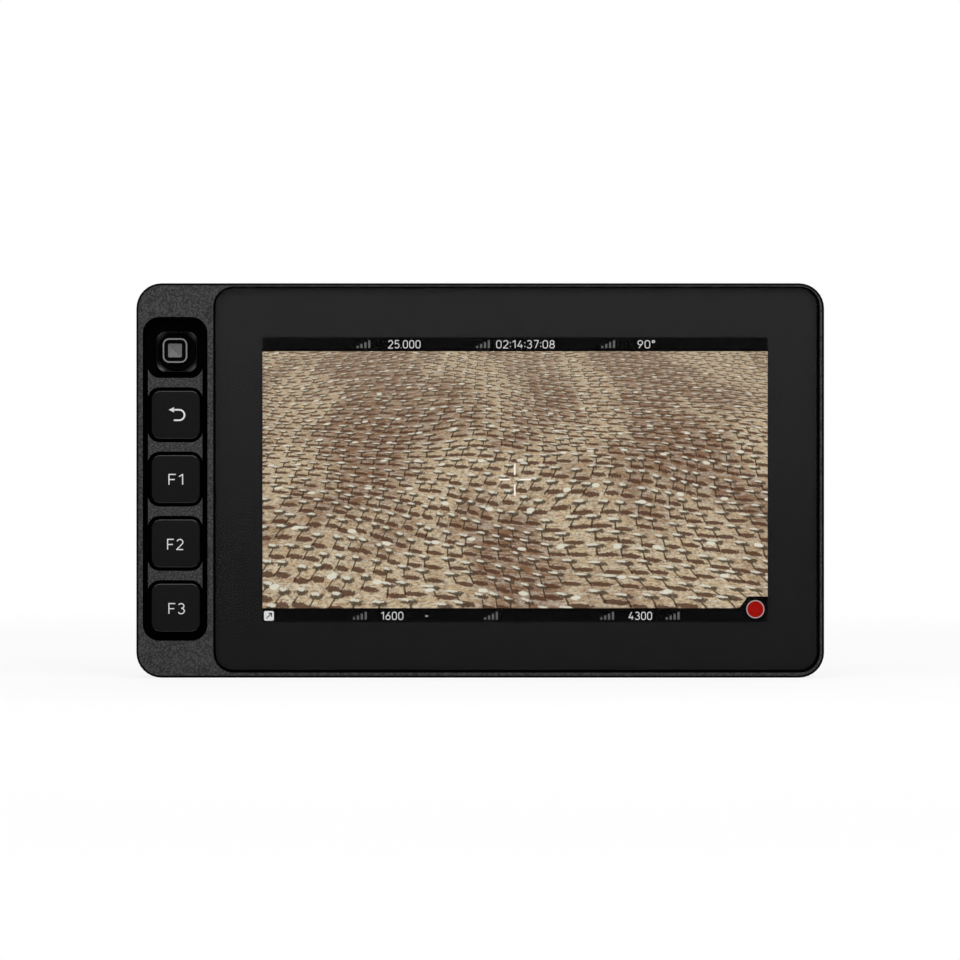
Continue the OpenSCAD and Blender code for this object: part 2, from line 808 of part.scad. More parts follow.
module joystick_cap() color(cap_grey) difference() {
    bevel = 0.3;
    taper = 0.25;
    moat_size = stick_size - 1.15;
    moat_r = 0.85;
    moat_depth = 0.55;
    plateau_size = 3;
    plateau_r = 0.35;
    stepped_body(stick_x, stick_z, stick_size, stick_size, stick_r,
        [[bevel, stick_front], [0, stick_front + bevel], [taper, stick_back]]);
    panel(0, stick_front + moat_depth) translate([stick_x, stick_z]) difference() {
        polygon(rounded_outline(moat_size, moat_size, moat_r));
        polygon(rounded_outline(plateau_size, plateau_size, plateau_r));
    }
}

// Power button and light on the top

module power_button() color(plastic_black) {
    cap_top = body_h - 0.3;
    bevel = 0.3;
    flange_gap = 0.1;
    rod_z(button_x, button_d, flange_bottom, inner_top - flange_gap, flange_r);
    rod_z(button_x, button_d, inner_top - 2 * flange_gap, cap_top - bevel, button_r);
    translate([button_x, front_y + button_d, cap_top - bevel])
        cylinder(r1 = button_r, r2 = button_r - bevel, h = bevel);
}

module power_switch() color(plastic_black) {
    body_top = flange_bottom - 1.6;
    body_bottom = body_top - 5.4;
    switch_w = 5;
    switch_back = button_d + 1.8;
    block(around(button_x, switch_w), [board_back, switch_back], [body_bottom, body_top]);
    rod_z(button_x, button_d, body_top, flange_bottom - button_travel - fine, plunger_r);
}

module status_light() color(white_plastic) {
    foot = mid_z + 34.9;
    foot_w = 2.4;
    foot_h = 2;
    rod_z(light_x, button_d, foot, body_h - fine, light_r);
    block(around(light_x, foot_w), [board_back, button_d + light_r], [foot, foot + foot_h]);
}

// Electronics

module main_board() color(board_green) difference() {
    bottom = mid_z - 38.1;
    top = mid_z + 37.9;
    side = 53;
    post_side = hump_screw_x - 5;
    post_edge = 4.5;
    block_side = block_half + 1;
    block_edge = block_h + 1;
    power_edge = power_z + power_r + 0.7;
    panel(board_front, board_back) polygon([
        [-post_side, bottom], [-block_side, bottom], [-block_side, block_edge],
        [block_side, block_edge], [block_side, bottom], [post_side, bottom],
        [post_side, power_edge], [side, power_edge], [side, top - post_edge],
        [post_side, top - post_edge], [post_side, top], [block_side, top],
        [block_side, body_h - block_edge], [-block_side, body_h - block_edge],
        [-block_side, top], [-post_side, top], [-post_side, top - post_edge],
        [-side, top - post_edge], [-side, bottom + post_edge], [-post_side, bottom + post_edge]]);
    at_standoffs()
        rod_y(0, 0, board_front - cut, board_back + cut, inner_shank_r + board_gap);
}

// Chips as [x, z above the middle, width, height]; the first two carry thermal pads
chips = [[-20, 0, 21, 21], [12, 0, 17, 17], [-20, -17, 11, 7.5], [-4, -15, 11, 7.5],
    [12, -15, 9, 6], [-22, 18, 12, 8], [-4, 18, 9, 9]];
chip_t = 1.4;
pad_t = 0.5;
pad_back = board_back + chip_t + pad_t;

module chip_blocks(count, inset, d)
    for (i = [0:count - 1])
        block(around(chips[i][0], chips[i][2] - 2 * inset), d,
            around(mid_z + chips[i][1], chips[i][3] - 2 * inset));

module board_chips() color(plastic_black)
    chip_blocks(len(chips), 0, [board_back, board_back + chip_t]);

module thermal_pads() color(pad_blue) chip_blocks(2, 1, [board_back + chip_t, pad_back]);

module heat_spreader() color(steel) {
    centre = [-3, mid_z - 3];
    plate = [62, 28];
    plate_end = pad_back + 2;
    ridge = [20, 24];
    ridge_x = [-22, 16];
    rounded_panel(centre[0], centre[1], plate[0], plate[1], 3, pad_back, plate_end, 3);
    for (x = ridge_x)
        rounded_panel(x, centre[1], ridge[0], ridge[1], 2, plate_end - fine, hump_inner - fine, 3);
}

// Sockets in the left wall

module coax_jack(z) color(nickel) difference() {
    lug_x = coax_mouth + 3.9;
    lug_end = 5.5;
    base_length = 9.2;
    base_h = 10;
    base_back = hump_inner - 0.1;
    inner = -hump_x + hump_wall + fine;
    union() {
        rod_x(coax_mouth, inner, coax_d, z, coax_r);
        block([inner - fine, inner + base_length], [board_back, base_back], around(z, base_h));
        rod_z(lug_x, coax_d, z - lug_end, z + lug_end, 1);
    }
    rod_x(coax_mouth - cut, coax_seat, coax_d, z, coax_bore_r);
}

module coax_input_jack() coax_jack(coax_z[1]);
module coax_output_jack() coax_jack(coax_z[0]);

module coax_nuts() color(nickel) for (z = coax_z) difference() {
    nut_t = 2;
    nut_flats = 12;
    translate([-hump_x - nut_t - fine, front_y + coax_d, z]) rotate([0, 90, 0])
        cylinder(r = nut_flats / sqrt(3), h = nut_t, $fn = 6);
    rod_x(-hump_x - nut_t - cut, -hump_x + cut, coax_d, z, coax_r + press_gap);
}

module coax_insulators() color(white_plastic) for (z = coax_z) difference() {
    rod_x(coax_tip, coax_seat, coax_d, z, coax_insulator_r);
    rod_x(coax_tip - cut, coax_seat - cut, coax_d, z, coax_pin_r + press_gap);
}

module coax_contacts() color(gold) for (z = coax_z) difference() {
    rod_x(coax_tip, coax_seat - cut, coax_d, z, coax_pin_r);
    rod_x(coax_tip - cut, coax_seat - 2 * cut, coax_d, z, coax_pin_bore_r);
}

module headphone_jack() color(plastic_black) difference() {
    inner = -hump_x + hump_wall + fine;
    base_back = headphone_d + 2.8;
    base_h = 6;
    union() {
        block([inner, inner + headphone_length], [board_back, base_back],
            around(headphone_z, base_h));
        rod_x(-hump_x, inner + fine, headphone_d, headphone_z, headphone_neck_r);
    }
    rod_x(-hump_x - cut, headphone_length - hump_x, headphone_d, headphone_z, headphone_r);
}

// Sockets in the right wall

// Thickness of a socket's closed back
socket_back = 1;

// A shell open to the side wall
module socket_shell(x0, d, z, outer, inner) difference() {
    side_panel(x0, hump_x) translate([d, z]) polygon(outer);
    side_panel(x0 + socket_back, hump_x + cut) translate([d, z]) polygon(inner);
}

module video_socket(z) color(nickel)
    socket_shell(hump_x - video_depth, video_d, z,
        cut_outline(video_w, video_h, video_corner),
        cut_outline(video_w - 2 * video_shell_t, video_h - 2 * video_shell_t,
            video_corner - video_shell_t / 2));

module video_input_socket() video_socket(video_z[1]);
module video_output_socket() video_socket(video_z[0]);

module video_socket_tongues() color(plastic_black) {
    tip = hump_x - 1.2;
    tongue_w = 11.2;
    tongue_d = [video_d - 0.4, video_d + 1.2];
    for (z = video_z)
        block([hump_x - video_depth + socket_back, tip], tongue_d, around(z, tongue_w));
}

module data_socket() color(nickel)
    socket_shell(hump_x - data_depth, data_d, data_z,
        slot_outline(data_outside, data_arc), slot_outline(data_inside, data_arc));

module data_socket_tongue() color(plastic_black) {
    tip = hump_x - 0.8;
    tongue_w = 6.7;
    tongue_t = 0.7;
    block([hump_x - data_depth + socket_back, tip], around(data_d, tongue_t),
        around(data_z, tongue_w));
}

power_back = hump_x - 11;
power_seat = hump_x - 5;
power_pin_end = power_seat + 4;
power_pin_z = 1.2;

module power_socket() color(nickel) difference() {
    rim_r = 4.8;
    rim_t = 1.2;
    keyway_w = 1.2;
    keyway_z = [power_z + 2, power_z + 3.6];
    union() {
        rod_x(hump_x, hump_x + rim_t, power_d, power_z, rim_r);
        rod_x(power_back, hump_x + rim_t / 2, power_d, power_z, power_r);
    }
    rod_x(power_back + socket_back, hump_x + rim_t + cut, power_d, power_z, power_bore_r);
    block([power_seat, hump_x + rim_t + cut], around(power_d, keyway_w), keyway_z);
}

module power_insulator() color(white_plastic)
    rod_x(power_back + socket_back, power_seat, power_d, power_z, power_bore_r - fine);

module power_pins() color(gold) for (side = [-1, 1])
    rod_x(power_seat, power_pin_end, power_d, power_z + side * power_pin_z, power_pin_r);

module card_socket() color(steel) difference() {
    z = [mid_z + 12, inner_top - 0.1];
    side = 0.8;
    wall_t = 0.3;
    block(around(card_x, card_w), [board_back, board_back + card_t], z);
    block(around(card_x, card_w - 2 * side), [board_back + wall_t, board_back + card_t - wall_t],
        [z[0] + socket_back, z[1] + cut]);
}

// Battery mount

module battery_plate() color(plastic_black) difference() {
    seat_gap = 0.1;
    latch_gap = 0.2;
    latch_pocket = [latch_w + 3, latch_h + 2.6];
    recess = [8.6, 38];
    recess_x = 7.2;
    recess_r = 1.5;
    recess_front = plate_back - 0.8;
    union() {
        stepped_body(0, mid_z, plate_w, plate_h, plate_r,
            [[0, plate_floor], [0, plate_back - plate_bevel], [plate_bevel, plate_back]]);
        for (side = [0, 1]) for (z = hook_z) mirror([side, 0, 0]) {
            block([hook_x, hook_x + hook_post], [plate_back - fine, lip_front + fine],
                [z, z + hook_h]);
            block([hook_x, hook_x + hook_reach], [lip_front, body_d], [z, z + hook_h]);
        }
    }
    // Latch pocket: wide from the front, narrow at the face
    rounded_panel(0, latch_z, latch_pocket[0], latch_pocket[1], 1, plate_floor - cut,
        latch_step + seat_gap, 3);
    rounded_panel(0, latch_z, latch_w + 2 * latch_gap, latch_h + 2 * latch_gap, 1, plate_floor,
        body_d, 3);
    // Contact block seat and wire way
    block([-contact_half - seat_gap, contact_half + seat_gap], [contact_front - fine, body_d],
        [contact_z - seat_gap, contact_z + contact_h + seat_gap]);
    block([-wire_hole_x, wire_hole_x], [plate_floor - cut, plate_floor + 2], wire_hole_z);
    at_plate_screws() {
        rod_y(0, 0, plate_floor - cut, body_d, plate_hole_r);
        translate([0, front_y + plate_back - plate_cone, 0]) rotate([-90, 0, 0])
            cylinder(r1 = plate_hole_r, r2 = plate_cone_r, h = plate_cone + tiny);
    }
    // Long shallow recesses in the face
    for (side = [-1, 1])
        rounded_panel(side * recess_x, mid_z, recess[0], recess[1], recess_r, recess_front,
            body_d, 3);
}

module plate_screws() color(steel) at_plate_screws() difference() {
    head_foot_r = 0.95;
    head_r = 2.15;
    head_h = plate_cone - 0.1;
    socket_d = plate_back - 0.7;
    union() {
        rod_y(0, 0, plate_tip_d, plate_back - plate_cone + fine, inner_shank_r);
        translate([0, front_y + plate_back - plate_cone, 0]) rotate([-90, 0, 0])
            cylinder(r1 = head_foot_r, r2 = head_r, h = head_h);
    }
    hex_socket(socket_d, 1, 2);
}

module contact_block() color(plastic_black) difference() {
    block_back = plate_back + 1.4;
    slit_w = 2;
    block([-contact_half, contact_half], [contact_front, block_back],
        [contact_z, contact_z + contact_h]);
    for (x = contact_x)
        block(around(x, slit_w), [blade_front, plate_back + 2],
            [blade_z, contact_z + contact_h + overlap]);
    for (side = [-1, 1])
        rod_y(side * power_post_x, power_post_z, plate_floor + cut, power_post_end,
            power_post_r + press_gap);
}

module battery_contacts() color(gold) {
    blade_t = 0.8;
    blade_back = blade_front + 1;
    blade_top = contact_z + 9;
    for (x = contact_x) block(around(x, blade_t), [blade_front, blade_back], [blade_z, blade_top]);
}

module power_posts() color(gold) for (side = [-1, 1])
    rod_y(side * power_post_x, power_post_z, board_back, power_post_end, power_post_r);

module battery_latch() color(cap_grey) difference() {
    foot = [latch_w + 2.4, latch_h + 2];
    corner = 0.8;
    tooth_half = 3;
    tooth_root = latch_face - fine;
    tooth_tip = latch_face + 0.6;
    tooth_z = [latch_z - 4, latch_z - 2.4, latch_z + 0.6];
    union() {
        rounded_panel(0, latch_z, foot[0], foot[1], corner, latch_front, latch_step, 3);
        rounded_panel(0, latch_z, latch_w, latch_h, corner, latch_step - fine, latch_face, 3);
        // The tooth that the battery rides over
        side_panel(-tooth_half, tooth_half) polygon([
            [tooth_root, tooth_z[0]], [tooth_tip, tooth_z[0]], [tooth_tip, tooth_z[1]],
            [tooth_root, tooth_z[2]]]);
    }
    rod_y(0, latch_z, latch_front - cut, latch_bore_d, latch_bore_r);
}

// Coil spring between the housing and the latch
spring_r = 1.8;
spring_wire = 0.22;
spring_turns = 5;
spring_sides = 6;
spring_steps = 10;
spring_rings = spring_turns * spring_steps;
spring_start = plate_floor + spring_wire;
spring_end = latch_bore_d - spring_wire;

function spring_point(k) = [
    spring_r * cos(360 * k / spring_steps),
    front_y + spring_start + (spring_end - spring_start) * k / spring_rings,
    latch_z + spring_r * sin(360 * k / spring_steps)];

function spring_ring(k) = let (a = 360 * k / spring_steps, centre = spring_point(k)) [
    for (s = [0:spring_sides - 1]) let (b = 360 * s / spring_sides)
        centre + spring_wire * [cos(b) * cos(a), sin(b), cos(b) * sin(a)]];

module latch_spring() color(steel)
    polyhedron(
        points = [for (k = [0:spring_rings]) for (p = spring_ring(k)) p],
        faces = concat(
            [[for (s = [0:spring_sides - 1]) s]],
            [[for (s = [spring_sides - 1:-1:0]) spring_rings * spring_sides + s]],
            [for (k = [0:spring_rings - 1]) for (s = [0:spring_sides - 1])
                let (t = (s + 1) % spring_sides, a = k * spring_sides, b = a + spring_sides)
                for (f = [[a + s, b + s, b + t], [a + s, b + t, a + t]]) f]),
        convexity = 10);

front_housing();
rear_housing();
housing_seal();
housing_screws();
bottom_thread_insert();
top_thread_insert();
cover_glass();
glass_tape();
lcd_panel();
light_guide();
led_strip();
backlight_tray();
mid_frame();
inner_screws();
display_flex();
key_bezel();
key_membrane();
key_cap(0);  // function_key_3
key_cap(1);  // function_key_2
key_cap(2);  // function_key_1
key_cap(3);  // back_key
control_board();
key_switches();
control_flex();
joystick_collar();
joystick_case();
joystick_ring();
joystick_hub();
joystick_stem();
joystick_cap();
power_button();
power_switch();
status_light();
main_board();
board_chips();
thermal_pads();
heat_spreader();
coax_input_jack();
coax_output_jack();
coax_nuts();
coax_insulators();
coax_contacts();
video_input_socket();
video_output_socket();
video_socket_tongues();
data_socket();
data_socket_tongue();
headphone_jack();
power_socket();
power_insulator();
power_pins();
card_socket();
battery_plate();
plate_screws();
contact_block();
battery_contacts();
power_posts();
battery_latch();
latch_spring();
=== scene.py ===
"""Studio scene of a five inch camera field monitor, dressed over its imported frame."""

import logging
import math
from dataclasses import dataclass
from enum import Enum
from functools import lru_cache
from typing import Any, Callable, Iterable, Sequence

import bmesh
import bpy
from mathutils import Matrix, Vector


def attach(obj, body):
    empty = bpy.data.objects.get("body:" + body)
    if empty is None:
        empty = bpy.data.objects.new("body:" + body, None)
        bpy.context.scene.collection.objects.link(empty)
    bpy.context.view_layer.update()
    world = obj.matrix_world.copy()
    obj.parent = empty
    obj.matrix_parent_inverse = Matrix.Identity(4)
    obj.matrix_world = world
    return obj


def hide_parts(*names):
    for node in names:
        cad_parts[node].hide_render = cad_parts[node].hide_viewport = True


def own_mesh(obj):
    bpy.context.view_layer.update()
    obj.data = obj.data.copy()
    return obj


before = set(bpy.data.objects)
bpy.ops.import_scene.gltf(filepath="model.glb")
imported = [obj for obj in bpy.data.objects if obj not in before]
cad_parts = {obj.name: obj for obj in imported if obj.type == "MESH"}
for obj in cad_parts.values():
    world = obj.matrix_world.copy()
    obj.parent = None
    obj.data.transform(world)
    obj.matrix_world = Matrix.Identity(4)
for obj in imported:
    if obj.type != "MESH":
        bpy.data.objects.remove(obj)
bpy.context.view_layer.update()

log = logging.getLogger("monitor")

MM = 0.001
FRONT = -14.0
MIDDLE = 43.1
PHOTO_CENTRE = (480.1, 480.15)
PHOTO_MM = 0.21886
PER_METRE = 1000.0
EDGE_STEPS = 2
WELD = 0.0015
FLAT = 0.6
SHARP = 38.0

Colour = tuple[float, float, float]
Span = tuple[float, float]
UNLIT: Colour = (0.001, 0.001, 0.001)


def at_depth(depth: float) -> float:
    """Y in millimetres of a depth measured back from the front plane."""
    return FRONT + depth


def depths(span: Span) -> Span:
    """Y span in millimetres of a span of depths."""
    return (at_depth(span[0]), at_depth(span[1]))


def from_photo(column: float, row: float) -> tuple[float, float]:
    """X and Z in millimetres of a place in the photograph's frame.

    Args:
        column: pixels from the left.
        row: pixels from the top.

    Returns:
        X and Z on the front plane.
    """
    return ((column - PHOTO_CENTRE[0]) * PHOTO_MM, MIDDLE - (row - PHOTO_CENTRE[1]) * PHOTO_MM)


def around(centre: float, size: float) -> Span:
    """A span of a size about a centre."""
    return (centre - size / 2, centre + size / 2)


# Shader maths


class Signal:
    """An output socket that takes part in arithmetic."""

    def __init__(self, sheet: "Sheet", socket: bpy.types.NodeSocket) -> None:
        """Keeps the sheet that owns the socket."""
        self.sheet = sheet
        self.socket = socket

    def _math(self, operation: str, *values: Any) -> "Signal":
        """Adds one Math node fed by the values."""
        return self.sheet.node("ShaderNodeMath", {"operation": operation}, dict(enumerate(values)))

    def __add__(self, other: Any) -> "Signal":
        """Sum."""
        return self._math("ADD", self, other)

    def __sub__(self, other: Any) -> "Signal":
        """Difference."""
        return self._math("SUBTRACT", self, other)

    def __rsub__(self, other: Any) -> "Signal":
        """Difference from a number."""
        return self._math("SUBTRACT", other, self)

    def __mul__(self, other: Any) -> "Signal":
        """Product."""
        return self._math("MULTIPLY", self, other)

    def __truediv__(self, other: Any) -> "Signal":
        """Quotient."""
        return self._math("DIVIDE", self, other)

    def __rtruediv__(self, other: Any) -> "Signal":
        """Quotient of a number by the signal."""
        return self._math("DIVIDE", other, self)

    def sine(self) -> "Signal":
        """Sine."""
        return self._math("SINE", self)

    def step(self, low: float, high: float, start: float = 0.0, end: float = 1.0) -> "Signal":
        """A soft step.

        Args:
            low: value at which the step starts.
            high: value at which the step ends.
            start: output below the step.
            end: output above the step.

        Returns:
            The stepped signal.
        """
        return self.sheet.node("ShaderNodeMapRange", {"interpolation_type": "SMOOTHSTEP"},
                               {0: self, 1: low, 2: high, 3: start, 4: end})


class Sheet:
    """One node-based material in the making."""

    def __init__(self, name: str) -> None:
        """Starts an empty node tree with an output."""
        self.material = bpy.data.materials.new(name)
        self.material.use_nodes = True
        self.tree = self.material.node_tree
        self.tree.nodes.clear()
        self.output = self.tree.nodes.new("ShaderNodeOutputMaterial")

    def node(self, kind: str, settings: dict[str, Any] | None = None,
             inputs: dict[Any, Any] | None = None, out: Any = 0) -> Signal:
        """Adds a node.

        Args:
            kind: the node's type.
            settings: attributes, set before the sockets.
            inputs: sockets by name or number, with a value or a signal each.
            out: the output that the signal carries.

        Returns:
            The chosen output as a signal.
        """
        made = self.tree.nodes.new(kind)
        for key, value in (settings or {}).items():
            setattr(made, key, value)
        for key, value in (inputs or {}).items():
            if isinstance(value, Signal):
                self.tree.links.new(value.socket, made.inputs[key])
            else:
                made.inputs[key].default_value = value
        return Signal(self, made.outputs[out])

    def place(self, scale: Sequence[float] = (1, 1, 1),
              offset: Sequence[float] = (0, 0, 0)) -> Signal:
        """Object coordinates, mapped.

        Args:
            scale: factor on each axis.
            offset: shift in metres after the scale.

        Returns:
            The mapped vector.
        """
        coords = self.node("ShaderNodeTexCoord", out="Object")
        return self.node("ShaderNodeMapping", {},
                         {"Vector": coords, "Location": offset, "Scale": scale})

    def axes(self, vector: Signal) -> tuple[Signal, Signal, Signal]:
        """The three parts of a vector."""
        parts = self.node("ShaderNodeSeparateXYZ", {}, {0: vector})
        sockets = parts.socket.node.outputs
        return Signal(self, sockets[0]), Signal(self, sockets[1]), Signal(self, sockets[2])

    def join(self, x: Any, y: Any, z: Any = 0.0) -> Signal:
        """A vector from three parts."""
        return self.node("ShaderNodeCombineXYZ", {}, {0: x, 1: y, 2: z})

    def noise(self, vector: Signal, scale: float, detail: float = 2.0,
              roughness: float = 0.5) -> Signal:
        """Noise from 0 to 1.

        Args:
            vector: where to sample.
            scale: features in a metre.
            detail: octaves.
            roughness: weight of the finer octaves.

        Returns:
            The noise value.
        """
        return self.node("ShaderNodeTexNoise", {"noise_dimensions": "3D"},
                         {"Vector": vector, "Scale": scale, "Detail": detail,
                          "Roughness": roughness})

    def vector(self, operation: str, first: Any, second: Any = (0, 0, 0),
               out: str = "Vector") -> Signal:
        """Adds one Vector Math node."""
        return self.node("ShaderNodeVectorMath", {"operation": operation},
                         {0: first, 1: second}, out)

    def blend(self, factor: Any, first: Any, second: Any) -> Signal:
        """A colour between two colours.

        Args:
            factor: 0 for the first, 1 for the second.
            first: a colour or a signal.
            second: a colour or a signal.

        Returns:
            The mixed colour.
        """
        return self.node("ShaderNodeMix", {"data_type": "RGBA"},
                         {0: factor, 6: rgba(first), 7: rgba(second)}, 2)

    def bump(self, height: Signal, distance: float) -> Signal:
        """A normal from a height, 0 to 1, and its depth in metres."""
        return self.node("ShaderNodeBump", {}, {"Height": height, "Distance": distance,
                                                "Strength": 1.0})

    def principled(self, **values: Any) -> Signal:
        """A Principled shader; underscores in names stand for spaces."""
        return self.node("ShaderNodeBsdfPrincipled", {},
                         {key.replace("_", " "): value for key, value in values.items()})

    def done(self, shader: Signal) -> bpy.types.Material:
        """Feeds the output and returns the material."""
        self.tree.links.new(shader.socket, self.output.inputs["Surface"])
        return self.material

    def glowing(self, colour: Signal, strength: float) -> bpy.types.Material:
        """Finishes a black surface that gives off a colour."""
        return self.done(self.principled(
            Base_Color=rgba(UNLIT), Roughness=0.6, Specular_IOR_Level=0.0,
            Emission_Color=colour, Emission_Strength=strength))


def rgba(colour: Any) -> Any:
    """A plain colour with full alpha; a signal stays as it is."""
    return colour if isinstance(colour, Signal) else (*colour, 1.0)


def shade(colour: Colour, factor: float) -> Colour:
    """A colour made lighter or darker."""
    return (colour[0] * factor, colour[1] * factor, colour[2] * factor)


# Finishes


@dataclass(frozen=True)
class Coat:
    """A coated, moulded or blasted surface with a grain and a broad mottle."""

    name: str
    colour: Colour
    roughness: float = 0.5
    metallic: float = 0.0
    specular: float = 0.5
    grain: float = 0.4
    relief: float = 0.02
    speckle: float = 0.25
    mottle: float = 0.12
    mottle_size: float = 14.0
    speck_edges: Span = (0.38, 0.64)
    mottle_edges: Span = (0.35, 0.7)
    mottle_light: float = 1.9
    rough_edges: Span = (0.3, 0.7)
    rough_swing: float = 0.05

    def build(self) -> bpy.types.Material:
        """Builds the nodes."""
        sheet = Sheet(self.name)
        where = sheet.place()
        grain = sheet.noise(where, PER_METRE / self.grain, 2.5, 0.6)
        patch = sheet.noise(where, PER_METRE / self.mottle_size, 3.0, 0.55)
        colour = sheet.blend(grain.step(*self.speck_edges), shade(self.colour, 1 - self.speckle),
                             shade(self.colour, 1 + self.speckle))
        colour = sheet.blend(patch.step(*self.mottle_edges, 0.0, self.mottle), colour,
                             shade(self.colour, self.mottle_light))
        rough = patch.step(*self.rough_edges, self.roughness - self.rough_swing,
                           self.roughness + self.rough_swing)
        return sheet.done(sheet.principled(
            Base_Color=colour, Roughness=rough, Metallic=self.metallic,
            Specular_IOR_Level=self.specular, Normal=sheet.bump(grain, self.relief * MM)))


@dataclass(frozen=True)
class Metal:
    """A bare or plated metal with fine tool marks across one direction."""

    name: str
    colour: Colour
    roughness: float = 0.28
    marks: tuple[float, float, float] = (900.0, 60.0, 900.0)
    relief: float = 0.004
    stain: float = 0.25
    stain_scale: float = 260.0
    stain_edges: Span = (0.4, 0.75)
    stain_light: float = 0.62
    rough_edges: Span = (0.25, 0.75)
    rough_swing: Span = (-0.07, 0.09)

    def build(self) -> bpy.types.Material:
        """Builds the nodes."""
        sheet = Sheet(self.name)
        lines = sheet.noise(sheet.place(self.marks), 4.0, 3.0, 0.7)
        patch = sheet.noise(sheet.place(), self.stain_scale, 3.0, 0.6)
        colour = sheet.blend(patch.step(*self.stain_edges, 0.0, self.stain), self.colour,
                             shade(self.colour, self.stain_light))
        rough = lines.step(*self.rough_edges, *(self.roughness + v for v in self.rough_swing))
        return sheet.done(sheet.principled(
            Base_Color=colour, Roughness=rough, Metallic=1.0,
            Normal=sheet.bump(lines, self.relief * MM)))


@dataclass(frozen=True)
class Glow:
    """A lit area of the display with the faint grid of its pixels."""

    name: str
    colour: Colour
    strength: float = 1.0
    grid: float = 0.06
    grid_scale: float = 18000.0

    def build(self) -> bpy.types.Material:
        """Builds the nodes."""
        sheet = Sheet(self.name)
        x, _, z = sheet.axes(sheet.place((self.grid_scale, 1.0, self.grid_scale)))
        weave = (x.sine() * z.sine()).step(-1.0, 1.0)
        colour = sheet.blend(weave, shade(self.colour, 1 - self.grid),
                             shade(self.colour, 1 + self.grid))
        return sheet.glowing(colour, self.strength)


@dataclass(frozen=True)
class TreePart:
    """One painted part of a tree, placed and stretched about its stem."""

    shift: Colour
    stretch: Colour
    edges: Span
    weight: float
    colour: Colour


@dataclass(frozen=True)
class PlainPicture:
    """A dry plain planted with rows of flat-topped thorn trees, seen from a height."""

    name: str = "dry_plain_picture"
    centre: tuple[float, float] = (7.5, 43.4)
    size: tuple[float, float] = (110.7, 62.3)
    horizon: float = 1.22
    slope: float = 0.22
    row_pitch: float = 0.026
    column_pitch: float = 0.047
    row_lean: tuple[float, float] = (7.0, 3.0)
    pale: Colour = (0.66, 0.51, 0.32)
    brown: Colour = (0.27, 0.15, 0.08)
    grit: Colour = (0.15, 0.082, 0.046)
    lit: Colour = (0.82, 0.79, 0.66)
    haze: Colour = (0.47, 0.38, 0.27)
    shadow: TreePart = TreePart((-0.38, 0.3, 0.0), (0.62, 1.9, 1.0), (0.24, 0.32), 0.92,
                                (0.1, 0.045, 0.025))
    trunk: TreePart = TreePart((0.0, 0.1, 0.0), (6.5, 0.75, 1.0), (0.22, 0.36), 0.85,
                               (0.035, 0.02, 0.012))
    crown: TreePart = TreePart((0.0, -0.26, 0.0), (0.72, 1.5, 1.0), (0.2, 0.28), 0.9,
                               (0.075, 0.05, 0.03))
    crown_light: TreePart = TreePart((0.12, -0.36, 0.0), (0.8, 2.4, 1.0), (0.14, 0.22), 0.85,
                                     (0.82, 0.79, 0.66))
    rock: TreePart = TreePart((0.0, 0.0, 0.0), (0.7, 1.6, 1.0), (0.06, 0.075), 0.9,
                              (0.82, 0.79, 0.66))
    rock_pitch: tuple[float, float] = (9.0, 13.0)
    strength: float = 0.95

    def build(self) -> bpy.types.Material:
        """Builds the nodes."""
        sheet = Sheet(self.name)
        width, height = self.size[0] * MM, self.size[1] * MM
        offset = (-self.centre[0] * MM / width, 0.0, -self.centre[1] * MM / height)
        u, _, v = sheet.axes(sheet.place((1 / width, 1.0, 1 / height), offset))
        lean = sheet.noise(sheet.join(u, v), 1.9, 1.0) - 0.5
        far = 1.0 / (self.horizon - v - lean * self.slope)
        across = u * 1.78 * far
        ground = sheet.join(across, far)
        plot = sheet.join(across / self.column_pitch + lean * self.row_lean[0],
                          far / self.row_pitch + across * self.row_lean[1])
        # Pale sand with broad brown hollows, ruts along the rows and grit
        hollow = sheet.noise(ground, 2.6, 4.0, 0.6)
        grit = sheet.noise(sheet.join(across * 0.5, far * 1.6), 190.0, 3.0, 0.8)
        rut = sheet.noise(sheet.join(across * 0.3, far * 2.6), 60.0, 3.0, 0.7)
        sand = sheet.blend(hollow.step(0.42, 0.56), self.pale, self.brown)
        sand = sheet.blend(rut.step(0.42, 0.6, 0.0, 0.4), sand, self.lit)
        sand = sheet.blend(grit.step(0.4, 0.68, 0.0, 0.8), sand, self.grit)
        fray = (sheet.noise(ground, 150.0, 2.0, 0.85) - 0.5) * 0.5
        for part in (self.shadow, self.trunk, self.crown, self.crown_light):
            sand = self.planted(sheet, sand, plot, part, fray)
        rocks = sheet.join(across * self.rock_pitch[0], far * self.rock_pitch[1])
        sand = self.planted(sheet, sand, rocks, self.rock, fray * 0.1)
        return sheet.glowing(sheet.blend(v.step(0.1, 0.6, 0.0, 0.25), sand, self.haze),
                             self.strength)

    @staticmethod
    def planted(sheet: Sheet, under: Signal, plot: Signal, part: TreePart,
                fray: Signal) -> Signal:
        """Paints one part of every tree over a colour.

        Args:
            sheet: the material's sheet.
            under: the colour so far.
            plot: position in rows and columns.
            part: the part.
            fray: what roughens its edge.

        Returns:
            The painted colour.
        """
        moved = sheet.vector("ADD", plot, part.shift)
        stem = sheet.node("ShaderNodeTexVoronoi", {"voronoi_dimensions": "2D"},
                          {"Vector": moved, "Scale": 1.0, "Randomness": 0.4}, "Position")
        drawn = sheet.vector("MULTIPLY", sheet.vector("SUBTRACT", moved, stem), part.stretch)
        gap = sheet.vector("LENGTH", drawn, out="Value") + fray
        return sheet.blend(gap.step(*part.edges, part.weight, 0.0), under, part.colour)


